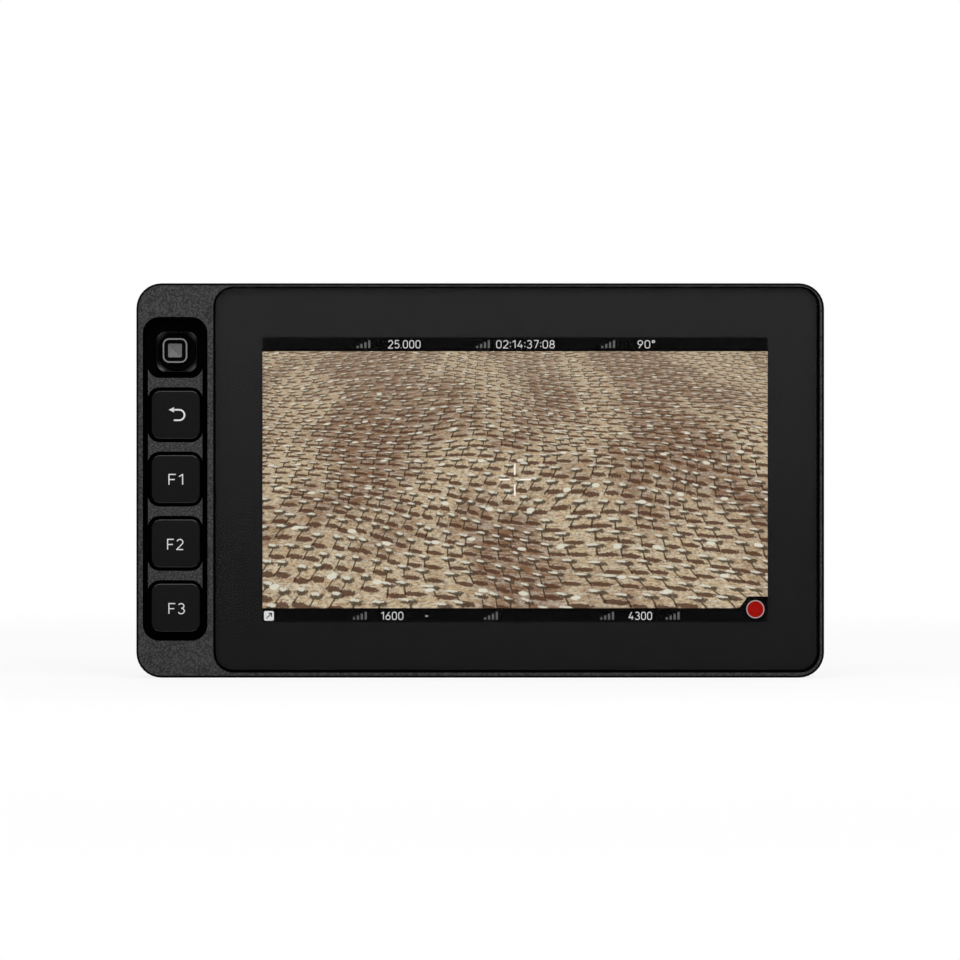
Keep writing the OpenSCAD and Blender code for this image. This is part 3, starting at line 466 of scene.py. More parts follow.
@dataclass(frozen=True)
class CoatedGlass:
    """Clear glass with an anti-reflection coating and a little dust."""

    name: str = "coated_cover_glass"
    clear: float = 0.035

    def build(self) -> bpy.types.Material:
        """Builds the nodes."""
        sheet = Sheet(self.name)
        slant = sheet.node("ShaderNodeLayerWeight", {}, {"Blend": 0.5}, "Facing")
        dust = sheet.noise(sheet.place(), 900.0, 4.0, 0.7).step(0.66, 0.82, 0.0, 0.02)
        alpha = slant.step(0.45, 1.0, self.clear, 0.75) + dust
        smear = sheet.noise(sheet.place(), 45.0, 2.0).step(0.3, 0.7, 0.03, 0.07)
        return sheet.done(sheet.principled(
            Base_Color=rgba((0.01, 0.011, 0.012)), Roughness=smear, Alpha=alpha))


@dataclass(frozen=True)
class BorderInk:
    """Black print on the back of the glass, with painted light: lighter towards the top."""

    name: str = "border_ink"
    low: Colour = (0.0088, 0.0088, 0.0089)
    high: Colour = (0.0178, 0.0178, 0.018)

    def build(self) -> bpy.types.Material:
        """Builds the nodes."""
        sheet = Sheet(self.name)
        where = sheet.place()
        _, _, z = sheet.axes(where)
        cloud = sheet.noise(where, 14.0, 1.0) * 0.2
        # Painted light: the print grows lighter towards the top.
        colour = sheet.blend((z * 11.5 + cloud).step(0.0, 1.15), self.low, self.high)
        fine = sheet.noise(where, 5200.0, 1.0)
        return sheet.done(sheet.principled(
            Base_Color=colour, Roughness=fine.step(0.3, 0.7, 0.6, 0.7), Specular_IOR_Level=0.03))


@dataclass(frozen=True)
class CircuitBoard:
    """Green solder mask over copper tracks."""

    name: str = "solder_mask"
    mask: Colour = (0.01, 0.1, 0.05)
    track: Colour = (0.03, 0.2, 0.1)
    track_relief: float = 0.03

    def build(self) -> bpy.types.Material:
        """Builds the nodes."""
        sheet = Sheet(self.name)
        cells = sheet.node("ShaderNodeTexVoronoi", {"voronoi_dimensions": "3D"},
                           {"Vector": sheet.place(), "Scale": 700.0, "Randomness": 0.4},
                           "Distance")
        track = cells.step(0.1, 0.16, 1.0, 0.0)
        colour = sheet.blend(track, self.mask, self.track)
        return sheet.done(sheet.principled(
            Base_Color=colour, Roughness=0.32, Normal=sheet.bump(track, self.track_relief * MM)))


BLASTED = Coat("blasted_dark_metal", (0.0183, 0.0183, 0.0187), 0.5, 0.0, 0.3, 0.42, 0.09, 0.97,
               0.05)
# Lighter and glossier than the blasted finish, on every rounded edge of the rear shell.
REAR_EDGE_TONE = Coat("lighter_rear_edge", (0.04, 0.04, 0.041), 0.36, 0.0, 0.4, 0.5, 0.01, 0.3, 0.1)
# Near black for the walls, bevels and floors of cuts and pockets: painted shade.
CUT_SHADE = Coat("cut_painted_shade", (0.0008, 0.0008, 0.0008), 0.5, 0.0, 0.02, 0.4, 0.01, 0.2, 0.0)
# Lighter, glossier copy of the key plastic for the top and bottom lips: painted highlight.
KEY_LIP_HIGHLIGHT = Coat("key_lip_painted_highlight", (0.015, 0.015, 0.0153), 0.32, 0.0, 0.45, 0.2, 0.003, 0.2, 0.02, 5.0)
KEY_PLASTIC = Coat("key_plastic", (0.0062, 0.0062, 0.0063), 0.58, 0.0, 0.04, 0.16, 0.006, 0.18,
                   0.02, 5.0)
BLACK_PLASTIC = Coat("moulded_black", (0.014, 0.014, 0.0144), 0.46, 0.0, 0.3, 0.22, 0.012, 0.2,
                     0.05, 8.0)
BATTERY_PLASTIC = Coat("textured_black", (0.0145, 0.0145, 0.0149), 0.6, 0.0, 0.3, 0.35, 0.04, 0.3,
                       0.08, 9.0)
RUBBER = Coat("black_rubber", (0.0007, 0.0007, 0.0007), 0.8, 0.0, 0.01, 0.3, 0.01, 0.2, 0.02, 6.0)
COLLAR = Coat("collar_plastic", (0.0022, 0.0022, 0.0022), 0.3, 0.0, 0.5, 0.2, 0.002, 0.1, 0.0, 5.0)
STICK_GREY = Coat("stick_grey", (0.115, 0.115, 0.117), 0.55, 0.0, 0.2, 0.12, 0.006, 0.12, 0.05,
                  2.0)
# Lighter copy of the stick's grey for its flat rim: painted highlight.
STICK_RIM_HIGHLIGHT = Coat("stick_rim_painted_highlight", (0.17, 0.17, 0.173), 0.5, 0.0, 0.2, 0.12, 0.004, 0.1, 0.05, 2.0)
# Near black for the cap's groove and walls: painted shade.
STICK_GROOVE_SHADE = Coat("stick_groove_painted_shade", (0.0016, 0.0016, 0.0016), 0.7, 0.0, 0.03, 0.2, 0.004, 0.1,
                    0.0, 2.0)
LATCH_GREY = Coat("latch_grey", (0.09, 0.09, 0.094), 0.5, 0.0, 0.35, 0.3, 0.02, 0.2, 0.08, 5.0)
INK_WHITE = Coat("white_ink", (0.62, 0.62, 0.61), 0.6, 0.0, 0.3, 0.1, 0.003, 0.05, 0.03, 3.0)
INK_GREY = Coat("grey_ink", (0.3, 0.3, 0.3), 0.6, 0.0, 0.3, 0.1, 0.003, 0.05, 0.03, 3.0)
MILKY = Coat("milky_acrylic", (0.78, 0.8, 0.82), 0.25, 0.0, 0.5, 0.5, 0.004, 0.03, 0.03)
INSULATOR = Coat("white_insulator", (0.72, 0.71, 0.67), 0.4, 0.0, 0.4, 0.2, 0.006, 0.06, 0.08,
                 3.0)
PAD = Coat("thermal_pad_blue", (0.22, 0.27, 0.42), 0.85, 0.0, 0.2, 0.5, 0.05, 0.2, 0.1, 4.0)
FILM = Coat("amber_film", (0.5, 0.25, 0.05), 0.25, 0.0, 0.5, 0.9, 0.01, 0.25, 0.1, 3.0)
DARK_GLASS = Coat("panel_glass", (0.004, 0.004, 0.0045), 0.15, 0.0, 0.2, 0.6, 0.001, 0.1, 0.02)
NICKEL = Metal("satin_nickel", (0.6, 0.58, 0.54), 0.26, relief=0.002, stain=0.08)
STEEL = Metal("pressed_steel", (0.56, 0.56, 0.57), 0.34, (60.0, 900.0, 900.0))
BLACK_SCREW = Metal("black_oxide_screw", (0.035, 0.035, 0.038), 0.34, (500.0, 500.0, 500.0))
GOLD = Metal("gold_plate", (0.83, 0.6, 0.24), 0.22)
TURNED = Metal("turned_steel", (0.5, 0.5, 0.5), 0.3, (60.0, 60.0, 4000.0))
LIT_WHITE = Glow("lit_white", (0.72, 0.72, 0.72))
LIT_CREAM = Glow("lit_cream", (1.0, 0.94, 0.85), 1.0, 0.02)
LIT_GREY = Glow("lit_grey", (0.125, 0.125, 0.125))
LIT_BLACK = Glow("dark_bar", (0.0007, 0.0007, 0.0007), 1.0, 0.2)
LIT_RED = Glow("lit_red", (0.31, 0.004, 0.002))
LIT_RING = Glow("lit_ring", (0.5, 0.42, 0.42))
LIT_GREEN = Glow("status_green", (0.05, 0.5, 0.16), 0.8)


@lru_cache(maxsize=None)
def material_of(finish: Any) -> bpy.types.Material:
    """The material of a finish, built once."""
    return finish.build()


# Plain characters as strokes on a body one unit high


Course = list[tuple[float, float]]


def bow(x: float, z: float, wide: float, high: float, start: float, end: float) -> Course:
    """Points on an arc.

    Args:
        x: its middle across.
        z: its middle upwards.
        wide: its radius across.
        high: its radius upwards.
        start: first angle in degrees, from the right and anticlockwise.
        end: last angle.

    Returns:
        Its points.
    """
    count = max(6, int(abs(end - start) / 22))
    angles = [math.radians(start + (end - start) * step / count) for step in range(count + 1)]
    return [(x + wide * math.cos(a), z + high * math.sin(a)) for a in angles]


CHARACTERS: dict[str, tuple[float, tuple[Course, ...]]] = {
    "0": (0.5, (bow(0.25, 0.72, 0.25, 0.28, 0, 180) + bow(0.25, 0.28, 0.25, 0.28, 180, 360)
                + [(0.5, 0.72)],)),
    "1": (0.3, ([(0.0, 0.8), (0.27, 1.0), (0.27, 0.0)],)),
    "2": (0.52, (bow(0.26, 0.73, 0.25, 0.27, 165, -38) + [(0.0, 0.0), (0.53, 0.0)],)),
    "3": (0.5, (bow(0.24, 0.76, 0.23, 0.24, 150, -90), bow(0.24, 0.27, 0.26, 0.27, 90, -155))),
    "4": (0.54, ([(0.34, 1.0), (0.0, 0.26), (0.54, 0.26)], [(0.4, 0.5), (0.4, 0.0)])),
    "5": (0.5, ([(0.47, 1.0), (0.07, 1.0), (0.04, 0.55)]
                + bow(0.24, 0.31, 0.26, 0.31, 125, -150),)),
    "6": (0.5, ([(0.4, 1.0), (0.05, 0.42)] + bow(0.25, 0.29, 0.25, 0.29, 155, 515),)),
    "7": (0.5, ([(0.0, 1.0), (0.5, 1.0), (0.17, 0.0)],)),
    "8": (0.5, (bow(0.25, 0.76, 0.21, 0.24, -90, 270), bow(0.25, 0.26, 0.25, 0.26, 90, 450))),
    "9": (0.5, ([(0.1, 0.0), (0.45, 0.58)] + bow(0.25, 0.71, 0.25, 0.29, -25, 335),)),
    "F": (0.52, ([(0.52, 1.0), (0.0, 1.0), (0.0, 0.0)], [(0.0, 0.5), (0.44, 0.5)])),
    ":": (0.0, ([(0.0, 0.14), (0.0, 0.28)], [(0.0, 0.64), (0.0, 0.78)])),
    ".": (0.0, ([(0.0, 0.0), (0.0, 0.08)],)),
    "-": (0.34, ([(0.0, 0.45), (0.34, 0.45)],)),
    "*": (0.26, (bow(0.13, 0.86, 0.13, 0.14, 0, 380),)),
}
CHARACTER_GAP = 0.25
LAP = 0.0015


# Making meshes


class Form:
    """A mesh in the making, in millimetres in the row frame."""

    def __init__(self) -> None:
        """Starts an empty mesh."""
        self.bm = bmesh.new()
        self.paint = 0
        self.copied = False

    def painted(self, faces: Iterable[Any]) -> None:
        """Gives faces the current material index."""
        for face in faces:
            face.material_index = self.paint

    def _placed(self, verts: Iterable[Any], scale: Sequence[float],
                centre: Sequence[float]) -> None:
        """Scales and moves new vertices and paints their faces."""
        verts = list(verts)
        bmesh.ops.scale(self.bm, vec=Vector(scale), verts=verts)
        bmesh.ops.translate(self.bm, vec=Vector(centre), verts=verts)
        self.painted({f for v in verts for f in v.link_faces})

    def _bevel(self, geom: Iterable[Any], offset: float, segments: int,
               affect: str = "EDGES") -> None:
        """Bevels edges or vertices."""
        bmesh.ops.bevel(self.bm, geom=list(geom), offset=offset, offset_type="OFFSET",
                        segments=segments, profile=0.5, affect=affect, material=-1,
                        clamp_overlap=True)

    def box(self, x: Span, y: Span, z: Span, bevel: float = 0.0) -> "Form":
        """Adds a box.

        Args:
            x: span along X.
            y: span along Y.
            z: span along Z.
            bevel: radius of its edges.

        Returns:
            The form.
        """
        spans = (x, y, z)
        verts = bmesh.ops.create_cube(self.bm, size=1.0)["verts"]
        self._placed(verts, [s[1] - s[0] for s in spans], [sum(s) / 2 for s in spans])
        if bevel:
            self._bevel({e for v in verts for e in v.link_edges}, bevel, EDGE_STEPS)
        return self

    def slab(self, centre: Sequence[float], size: Sequence[float], radius: float, depth: Span,
             lip: float = 0.0, corner_steps: int = 8, lip_steps: int = 3) -> list[Any]:
        """Adds a plate with round corners, seen from the front.

        Args:
            centre: its middle in X and Z.
            size: its width and height.
            radius: radius of its corners.
            depth: its depths, front to back.
            lip: radius of its front edge.
            corner_steps: steps of a corner.
            lip_steps: steps of the front edge.

        Returns:
            The front face, in a list.
        """
        verts = bmesh.ops.create_cube(self.bm, size=1.0)["verts"]
        middle = (centre[0], at_depth(sum(depth) / 2), centre[1])
        self._placed(verts, (size[0], depth[1] - depth[0], size[1]), middle)
        along = {e for v in verts for e in v.link_edges
                 if abs(e.verts[0].co.y - e.verts[1].co.y) > (depth[1] - depth[0]) / 2}
        if radius:
            self._bevel(along, radius, corner_steps)
        self.bm.faces.ensure_lookup_table()
        front = [f for f in self.bm.faces if self._is_front(f, depth[0], centre, size)]
        if lip:
            edges = {e for f in front for e in f.edges}
            self._bevel(edges, lip, lip_steps)
            front = [f for f in self.bm.faces if self._is_front(f, depth[0], centre, size)]
        self.painted(front)
        return front

    @staticmethod
    def _is_front(face: Any, depth: float, centre: Sequence[float],
                  size: Sequence[float]) -> bool:
        """Tells whether a face is the front of the plate last made."""
        middle = face.calc_center_median()
        return (all(abs(v.co.y - at_depth(depth)) < 1e-4 for v in face.verts)
                and abs(middle.x - centre[0]) < size[0] / 4
                and abs(middle.z - centre[1]) < size[1] / 4)

    def rod(self, start: Sequence[float], end: Sequence[float], radius: float,
            tip_radius: float | None = None, segments: int = 40, bevel: float = 0.0) -> "Form":
        """Adds a round rod or cone.

        Args:
            start: middle of its first end.
            end: middle of its other end.
            radius: radius at the start.
            tip_radius: radius at the end, if it differs.
            segments: sides.
            bevel: radius of its end edges.

        Returns:
            The form.
        """
        way = Vector(end) - Vector(start)
        turn = way.to_track_quat("Z", "Y").to_matrix().to_4x4()
        made = bmesh.ops.create_cone(
            self.bm, cap_ends=True, cap_tris=False, segments=segments, radius1=radius,
            radius2=radius if tip_radius is None else tip_radius, depth=way.length,
            matrix=Matrix.Translation((Vector(start) + Vector(end)) / 2) @ turn)
        self._placed(made["verts"], (1, 1, 1), (0, 0, 0))
        if bevel:
            rims = {e for v in made["verts"] for e in v.link_edges
                    if any(len(f.verts) > 4 for f in e.link_faces)}
            self._bevel(rims, bevel, EDGE_STEPS)
        return self

    def ring(self, centre: Sequence[float], axis: Sequence[float],
             profile: Sequence[tuple[float, float]], segments: int = 48) -> "Form":
        """Adds a turned body.

        Args:
            centre: where the axis starts.
            axis: direction of the axis.
            profile: closed outline as radius and height along the axis.
            segments: steps of the turn.

        Returns:
            The form.
        """
        turn = Vector(axis).to_track_quat("Z", "Y").to_matrix().to_4x4()
        place = Matrix.Translation(Vector(centre)) @ turn
        verts = [self.bm.verts.new(place @ Vector((r, 0.0, h))) for r, h in profile]
        edges = [self.bm.edges.new((a, b)) for a, b in zip(verts, verts[1:] + verts[:1])]
        bmesh.ops.spin(self.bm, geom=verts + edges, cent=Vector(centre),
                       axis=Vector(axis).normalized(), angle=2 * math.pi, steps=segments,
                       use_merge=True, use_duplicate=False)
        faces = {f for v in verts for f in v.link_faces}
        grown = set(faces)
        while faces:
            faces = {g for f in faces for e in f.edges for g in e.link_faces} - grown
            grown |= faces
        self.painted(grown)
        return self

    def helix(self, centre: Sequence[float], axis: Sequence[float], root: float, crest: float,
              pitch: float, turns: float, steps: int = 36) -> "Form":
        """Adds the ridge of a screw thread.

        Args:
            centre: where the thread starts.
            axis: direction in which it runs.
            root: radius at the ridge's foot.
            crest: radius at its top.
            pitch: rise of a turn.
            turns: number of turns.
            steps: steps of a turn.

        Returns:
            The form.
        """
        way = Vector(axis).normalized()
        turn = way.to_track_quat("Z", "Y").to_matrix().to_4x4()
        place = Matrix.Translation(Vector(centre)) @ turn
        outline = ((root, 0.0), (crest, 0.38 * pitch), (crest, 0.52 * pitch), (root, 0.9 * pitch))
        verts = [self.bm.verts.new(place @ Vector((r, 0.0, h))) for r, h in outline]
        cap = self.bm.faces.new(verts)
        count = int(steps * turns)
        bmesh.ops.spin(self.bm, geom=[cap, *cap.edges, *verts], cent=Vector(centre), axis=way,
                       dvec=way * (pitch / steps), angle=2 * math.pi * count / steps,
                       steps=count, use_merge=False, use_duplicate=False)
        return self

    def loop(self, centre: Sequence[float], size: Sequence[float], radius: float, depth: float,
             steps: int = 8) -> list[Any]:
        """Adds the outline of a plate as seen from the front.

        Args:
            centre: its middle in X and Z.
            size: its width and height.
            radius: radius of its corners.
            depth: the depth that it lies at.
            steps: steps of a corner.

        Returns:
            Its edges.
        """
        verts = bmesh.ops.create_grid(self.bm, x_segments=1, y_segments=1, size=0.5)["verts"]
        place = (Matrix.Translation((centre[0], at_depth(depth), centre[1]))
                 @ Matrix.Rotation(math.pi / 2, 4, "X")
                 @ Matrix.Diagonal((size[0], size[1], 1, 1)))
        bmesh.ops.transform(self.bm, matrix=place, verts=verts)
        faces = set(verts[0].link_faces)
        if radius:
            before = set(self.bm.faces) - faces
            self._bevel(verts, radius, steps, "VERTICES")
            faces = set(self.bm.faces) - before
        edges = list({e for f in faces for e in f.edges})
        bmesh.ops.delete(self.bm, geom=list(faces), context="FACES_ONLY")
        return edges

    def thicken(self, faces: Iterable[Any], way: Sequence[float]) -> list[Any]:
        """Draws faces out along a vector and returns the vertices that moved."""
        grown = bmesh.ops.extrude_face_region(self.bm, geom=list(faces))["geom"]
        verts = [g for g in grown if isinstance(g, bmesh.types.BMVert)]
        bmesh.ops.translate(self.bm, vec=Vector(way), verts=verts)
        return verts

    def rim(self, outer: Sequence[Any], inner: Sequence[Any], depth: Span) -> "Form":
        """Adds a flat frame between two outlines.

        Args:
            outer: middle, size and corner radius of the outer outline.
            inner: the same of the opening.
            depth: depths of the frame, front to back.

        Returns:
            The form.
        """
        edges = self.loop(*outer, depth[0]) + self.loop(*inner, depth[0])
        faces = bmesh.ops.bridge_loops(self.bm, edges=edges)["faces"]
        self.painted(faces)
        self.thicken(faces, (0, depth[1] - depth[0], 0))
        return self

    def plate(self, outline: Sequence[Sequence[float]], depth: Span) -> "Form":
        """Adds a thin plate with a straight-sided outline, seen from the front."""
        verts = [self.bm.verts.new((x, at_depth(depth[0]), z)) for x, z in outline]
        self.thicken([self.bm.faces.new(verts)], (0, depth[1] - depth[0], 0))
        return self

    def ribbon(self, spots: Sequence[Vector], width: float, depth: Span) -> None:
        """Adds a flat line that is mitred at its bends.

        Args:
            spots: its course in X and Z; a closed one ends where it starts.
            width: its width.
            depth: depths of its front and back.
        """
        ways = [(b - a).normalized() for a, b in zip(spots, spots[1:])]
        closed = (spots[0] - spots[-1]).length < 1e-4
        before = [ways[-1] if closed else ways[0], *ways]
        after = [*ways, ways[0] if closed else ways[-1]]
        pairs = []
        for spot, way_in, way_out in zip(spots, before, after):
            side = Vector((-way_in.y - way_out.y, way_in.x + way_out.x)).normalized()
            reach = width / 2 / max(0.4, side.dot(Vector((-way_in.y, way_in.x))))
            pairs.append([self.bm.verts.new((end.x, at_depth(depth[0]), end.y))
                          for end in (spot + side * reach, spot - side * reach)])
        for (a, b), (c, d) in zip(pairs, pairs[1:]):
            self.bm.faces.new((a, b, d, c))
        verts = [v for pair in pairs for v in pair]
        bmesh.ops.remove_doubles(self.bm, verts=verts, dist=1e-4)
        faces = {f for v in verts if v.is_valid for f in v.link_faces}
        self.painted(faces)
        self.thicken(faces, (0, depth[1] - depth[0], 0))

    def stroke(self, points: Sequence[tuple[float, float]], width: float, depth: Span) -> "Form":
        """Adds a flat line, in one ribbon for each stretch between sharp corners.

        Args:
            points: its course in X and Z.
            width: its width.
            depth: depths of its front and back.

        Returns:
            The form.
        """
        spots = [Vector(p) for p in points]
        ways = [(b - a).normalized() for a, b in zip(spots, spots[1:])]
        cuts = [i for i in range(1, len(spots) - 1) if ways[i - 1].dot(ways[i]) < 0.6]
        for number, (start, end) in enumerate(zip([0, *cuts], [*cuts, len(spots) - 1])):
            run = [spot.copy() for spot in spots[start:end + 1]]
            if start in cuts:
                run[0] -= ways[start] * width * 0.45
            if end in cuts:
                run[-1] += ways[end - 1] * width * 0.45
            sink = LAP * (number % 2)
            self.ribbon(run, width, (depth[0] + sink, depth[1] - sink))
        return self

    def words(self, text: str, centre: Sequence[float], size: Sequence[float], line: float,
              depth: Span) -> "Form":
        """Adds plain characters drawn with strokes.

        Args:
            text: the characters.
            centre: their middle in X and Z.
            size: their width and height, lines included.
            line: width of the lines.
            depth: depths of their front and back.

        Returns:
            The form.
        """
        total = sum(CHARACTERS[c][0] for c in text) + CHARACTER_GAP * (len(text) - 1)
        across = (size[0] - line) / total
        high = size[1] - line
        left, low = centre[0] - (size[0] - line) / 2, centre[1] - high / 2
        for character in text:
            width, courses = CHARACTERS[character]
            for number, course in enumerate(courses):
                self.stroke([(left + x * across, low + z * high) for x, z in course], line,
                            (depth[0] + 2 * LAP * number, depth[1] - 2 * LAP * number))
            left += (width + CHARACTER_GAP) * across
        return self

    def copy_of(self, node: str, split: float | None = None) -> "Form":
        """Adds a merged copy of a CAD node, with its flat faces joined up.

        Args:
            node: the CAD node.
            split: Y of a plane through the holes in the walls; flat faces stay parted there,
                so that no long sliver runs from hole to hole.

        Returns:
            The form.
        """
        self.copied = True
        self.bm.from_mesh(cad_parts[node].data)
        bmesh.ops.scale(self.bm, vec=Vector((1 / MM,) * 3), verts=self.bm.verts)
        bmesh.ops.remove_doubles(self.bm, verts=self.bm.verts, dist=WELD)
        if split is not None:
            cut = bmesh.ops.bisect_plane(
                self.bm, geom=[*self.bm.verts, *self.bm.edges, *self.bm.faces],
                plane_co=(0, split, 0), plane_no=(0, 1, 0))["geom_cut"]
            for edge in (g for g in cut if isinstance(g, bmesh.types.BMEdge)):
                edge.seam = True
        bmesh.ops.dissolve_limit(self.bm, angle_limit=math.radians(FLAT), verts=self.bm.verts,
                                 edges=self.bm.edges, delimit={"SEAM"})
        for edge in self.bm.edges:
            edge.seam = False
        self.painted(self.bm.faces)
        return self

    def repaint(self, index: int, wanted: Callable[[Any], bool]) -> "Form":
        """Gives the faces that pass a test another material slot."""
        self.bm.normal_update()
        for face in self.bm.faces:
            if wanted(face):
                face.material_index = index
        return self

    def piece(self, name: str, body: str, slot: str, finishes: Sequence[Any],
              replaces: Sequence[str] = (), smooth: float = 35.0, bevel: float = 0.0,
              bevel_paint: int = -1) -> bpy.types.Object:
        """Turns the form into a piece that rides on a body.

        Args:
            name: the piece's name.
            body: the body that it rides on.
            slot: the record's material slot; not used.
            finishes: one finish for each material index.
            replaces: CAD nodes that it stands for.
            smooth: edges flatter than this many degrees are shaded round.
            bevel: width of a bevel on all sharp edges.
            bevel_paint: material index of the bevels.

        Returns:
            The piece.
        """
        if not self.copied:
            bmesh.ops.remove_doubles(self.bm, verts=self.bm.verts, dist=1e-5)
            bmesh.ops.recalc_face_normals(self.bm, faces=self.bm.faces)
        bmesh.ops.scale(self.bm, vec=Vector((MM,) * 3), verts=self.bm.verts)
        mesh = bpy.data.meshes.new(name)
        self.bm.to_mesh(mesh)
        self.bm.free()
        for finish in finishes:
            mesh.materials.append(material_of(finish))
        mesh.shade_smooth()
        mesh.set_sharp_from_angle(angle=math.radians(smooth))
        piece = bpy.data.objects.new(name, mesh)
        bpy.context.scene.collection.objects.link(piece)
        if bevel:
            rounding = piece.modifiers.new("rounding", "BEVEL")
            rounding.width = bevel * MM
            rounding.segments = EDGE_STEPS
            rounding.limit_method = "ANGLE"
            rounding.angle_limit = math.radians(SHARP)
            rounding.use_clamp_overlap = False
            rounding.harden_normals = True
            rounding.material = bevel_paint
        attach(piece, body)
        if replaces:
            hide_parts(*replaces)
        log.info("%s rides on %s", name, body)
        return piece


# Sub-assemblies


@dataclass
class Housing:
    """The two shells and the camera threads."""

    half_width: float = 75.15
    height: float = 86.2
    corner: float = 5.5
    thread_y: float = 3.5
    thread_minor: float = 2.55
    thread_major: float = 3.1
    insert_radius: float = 4.6
    insert_span: Span = (0.2, 9.7)
    lead_in: float = 0.5
    chamfer: float = 0.15
    run_out: float = 1.4
    pitch: float = 1.27
    hole_plane: float = 2.5

    def is_cut(self, face: Any) -> bool:
        """Tells whether a face of the front shell lies in its cuts and openings."""
        if abs(face.normal.y) > 0.99:
            return face.calc_center_median().y > at_depth(0.05)
        if abs(face.normal.y) > 0.2:
            return True
        spot = face.calc_center_median()
        half = (self.half_width, self.height / 2)
        away = [max(0.0, abs(v) - h + self.corner) for v, h in zip(
            (spot.x, spot.z - self.height / 2), half)]
        return math.hypot(*away) < self.corner - 0.15

    def build(self) -> None:
        """Builds all pieces."""
        # The faces in the cuts and openings and every bevel take the near-black finish: painted
        # shade.
        shell = Form().copy_of("front_housing").repaint(1, self.is_cut)
        shell.piece("front_shell", "housing", "housing", (BLASTED, CUT_SHADE),
                    ("front_housing",), bevel=0.08, bevel_paint=1)
        back = Form().copy_of("rear_housing", self.hole_plane)
        back.piece("rear_shell", "housing", "housing", (BLASTED, REAR_EDGE_TONE), ("rear_housing",),
                   bevel=0.18, bevel_paint=1)
        self.insert("bottom_insert", "bottom_thread_insert", 0.0, 1.0)
        self.insert("top_insert", "top_thread_insert", self.height, -1.0)

    def insert(self, name: str, node: str, face: float, way: float) -> None:
        """Builds a threaded insert.

        Args:
            name: the piece's name.
            node: the CAD node that it stands for.
            face: height of the housing's face.
            way: direction into the housing.
        """
        near, far = self.insert_span
        low, length = face + way * near, far - near
        wide, narrow, lead = self.insert_radius, self.thread_major, self.lead_in
        outline = ((narrow + lead, 0.0), (wide - self.chamfer, 0.0), (wide, self.chamfer),
                   (wide, length), (narrow, length), (narrow, lead))
        form = Form().ring((0.0, self.thread_y, low), (0, 0, way), outline, 64)
        form.helix((0.0, self.thread_y, low + way * lead), (0, 0, way), narrow + 0.02,
                   self.thread_minor, self.pitch, (length - self.run_out) / self.pitch)
        form.piece(name, "housing", "inserts", (TURNED,), (node,))


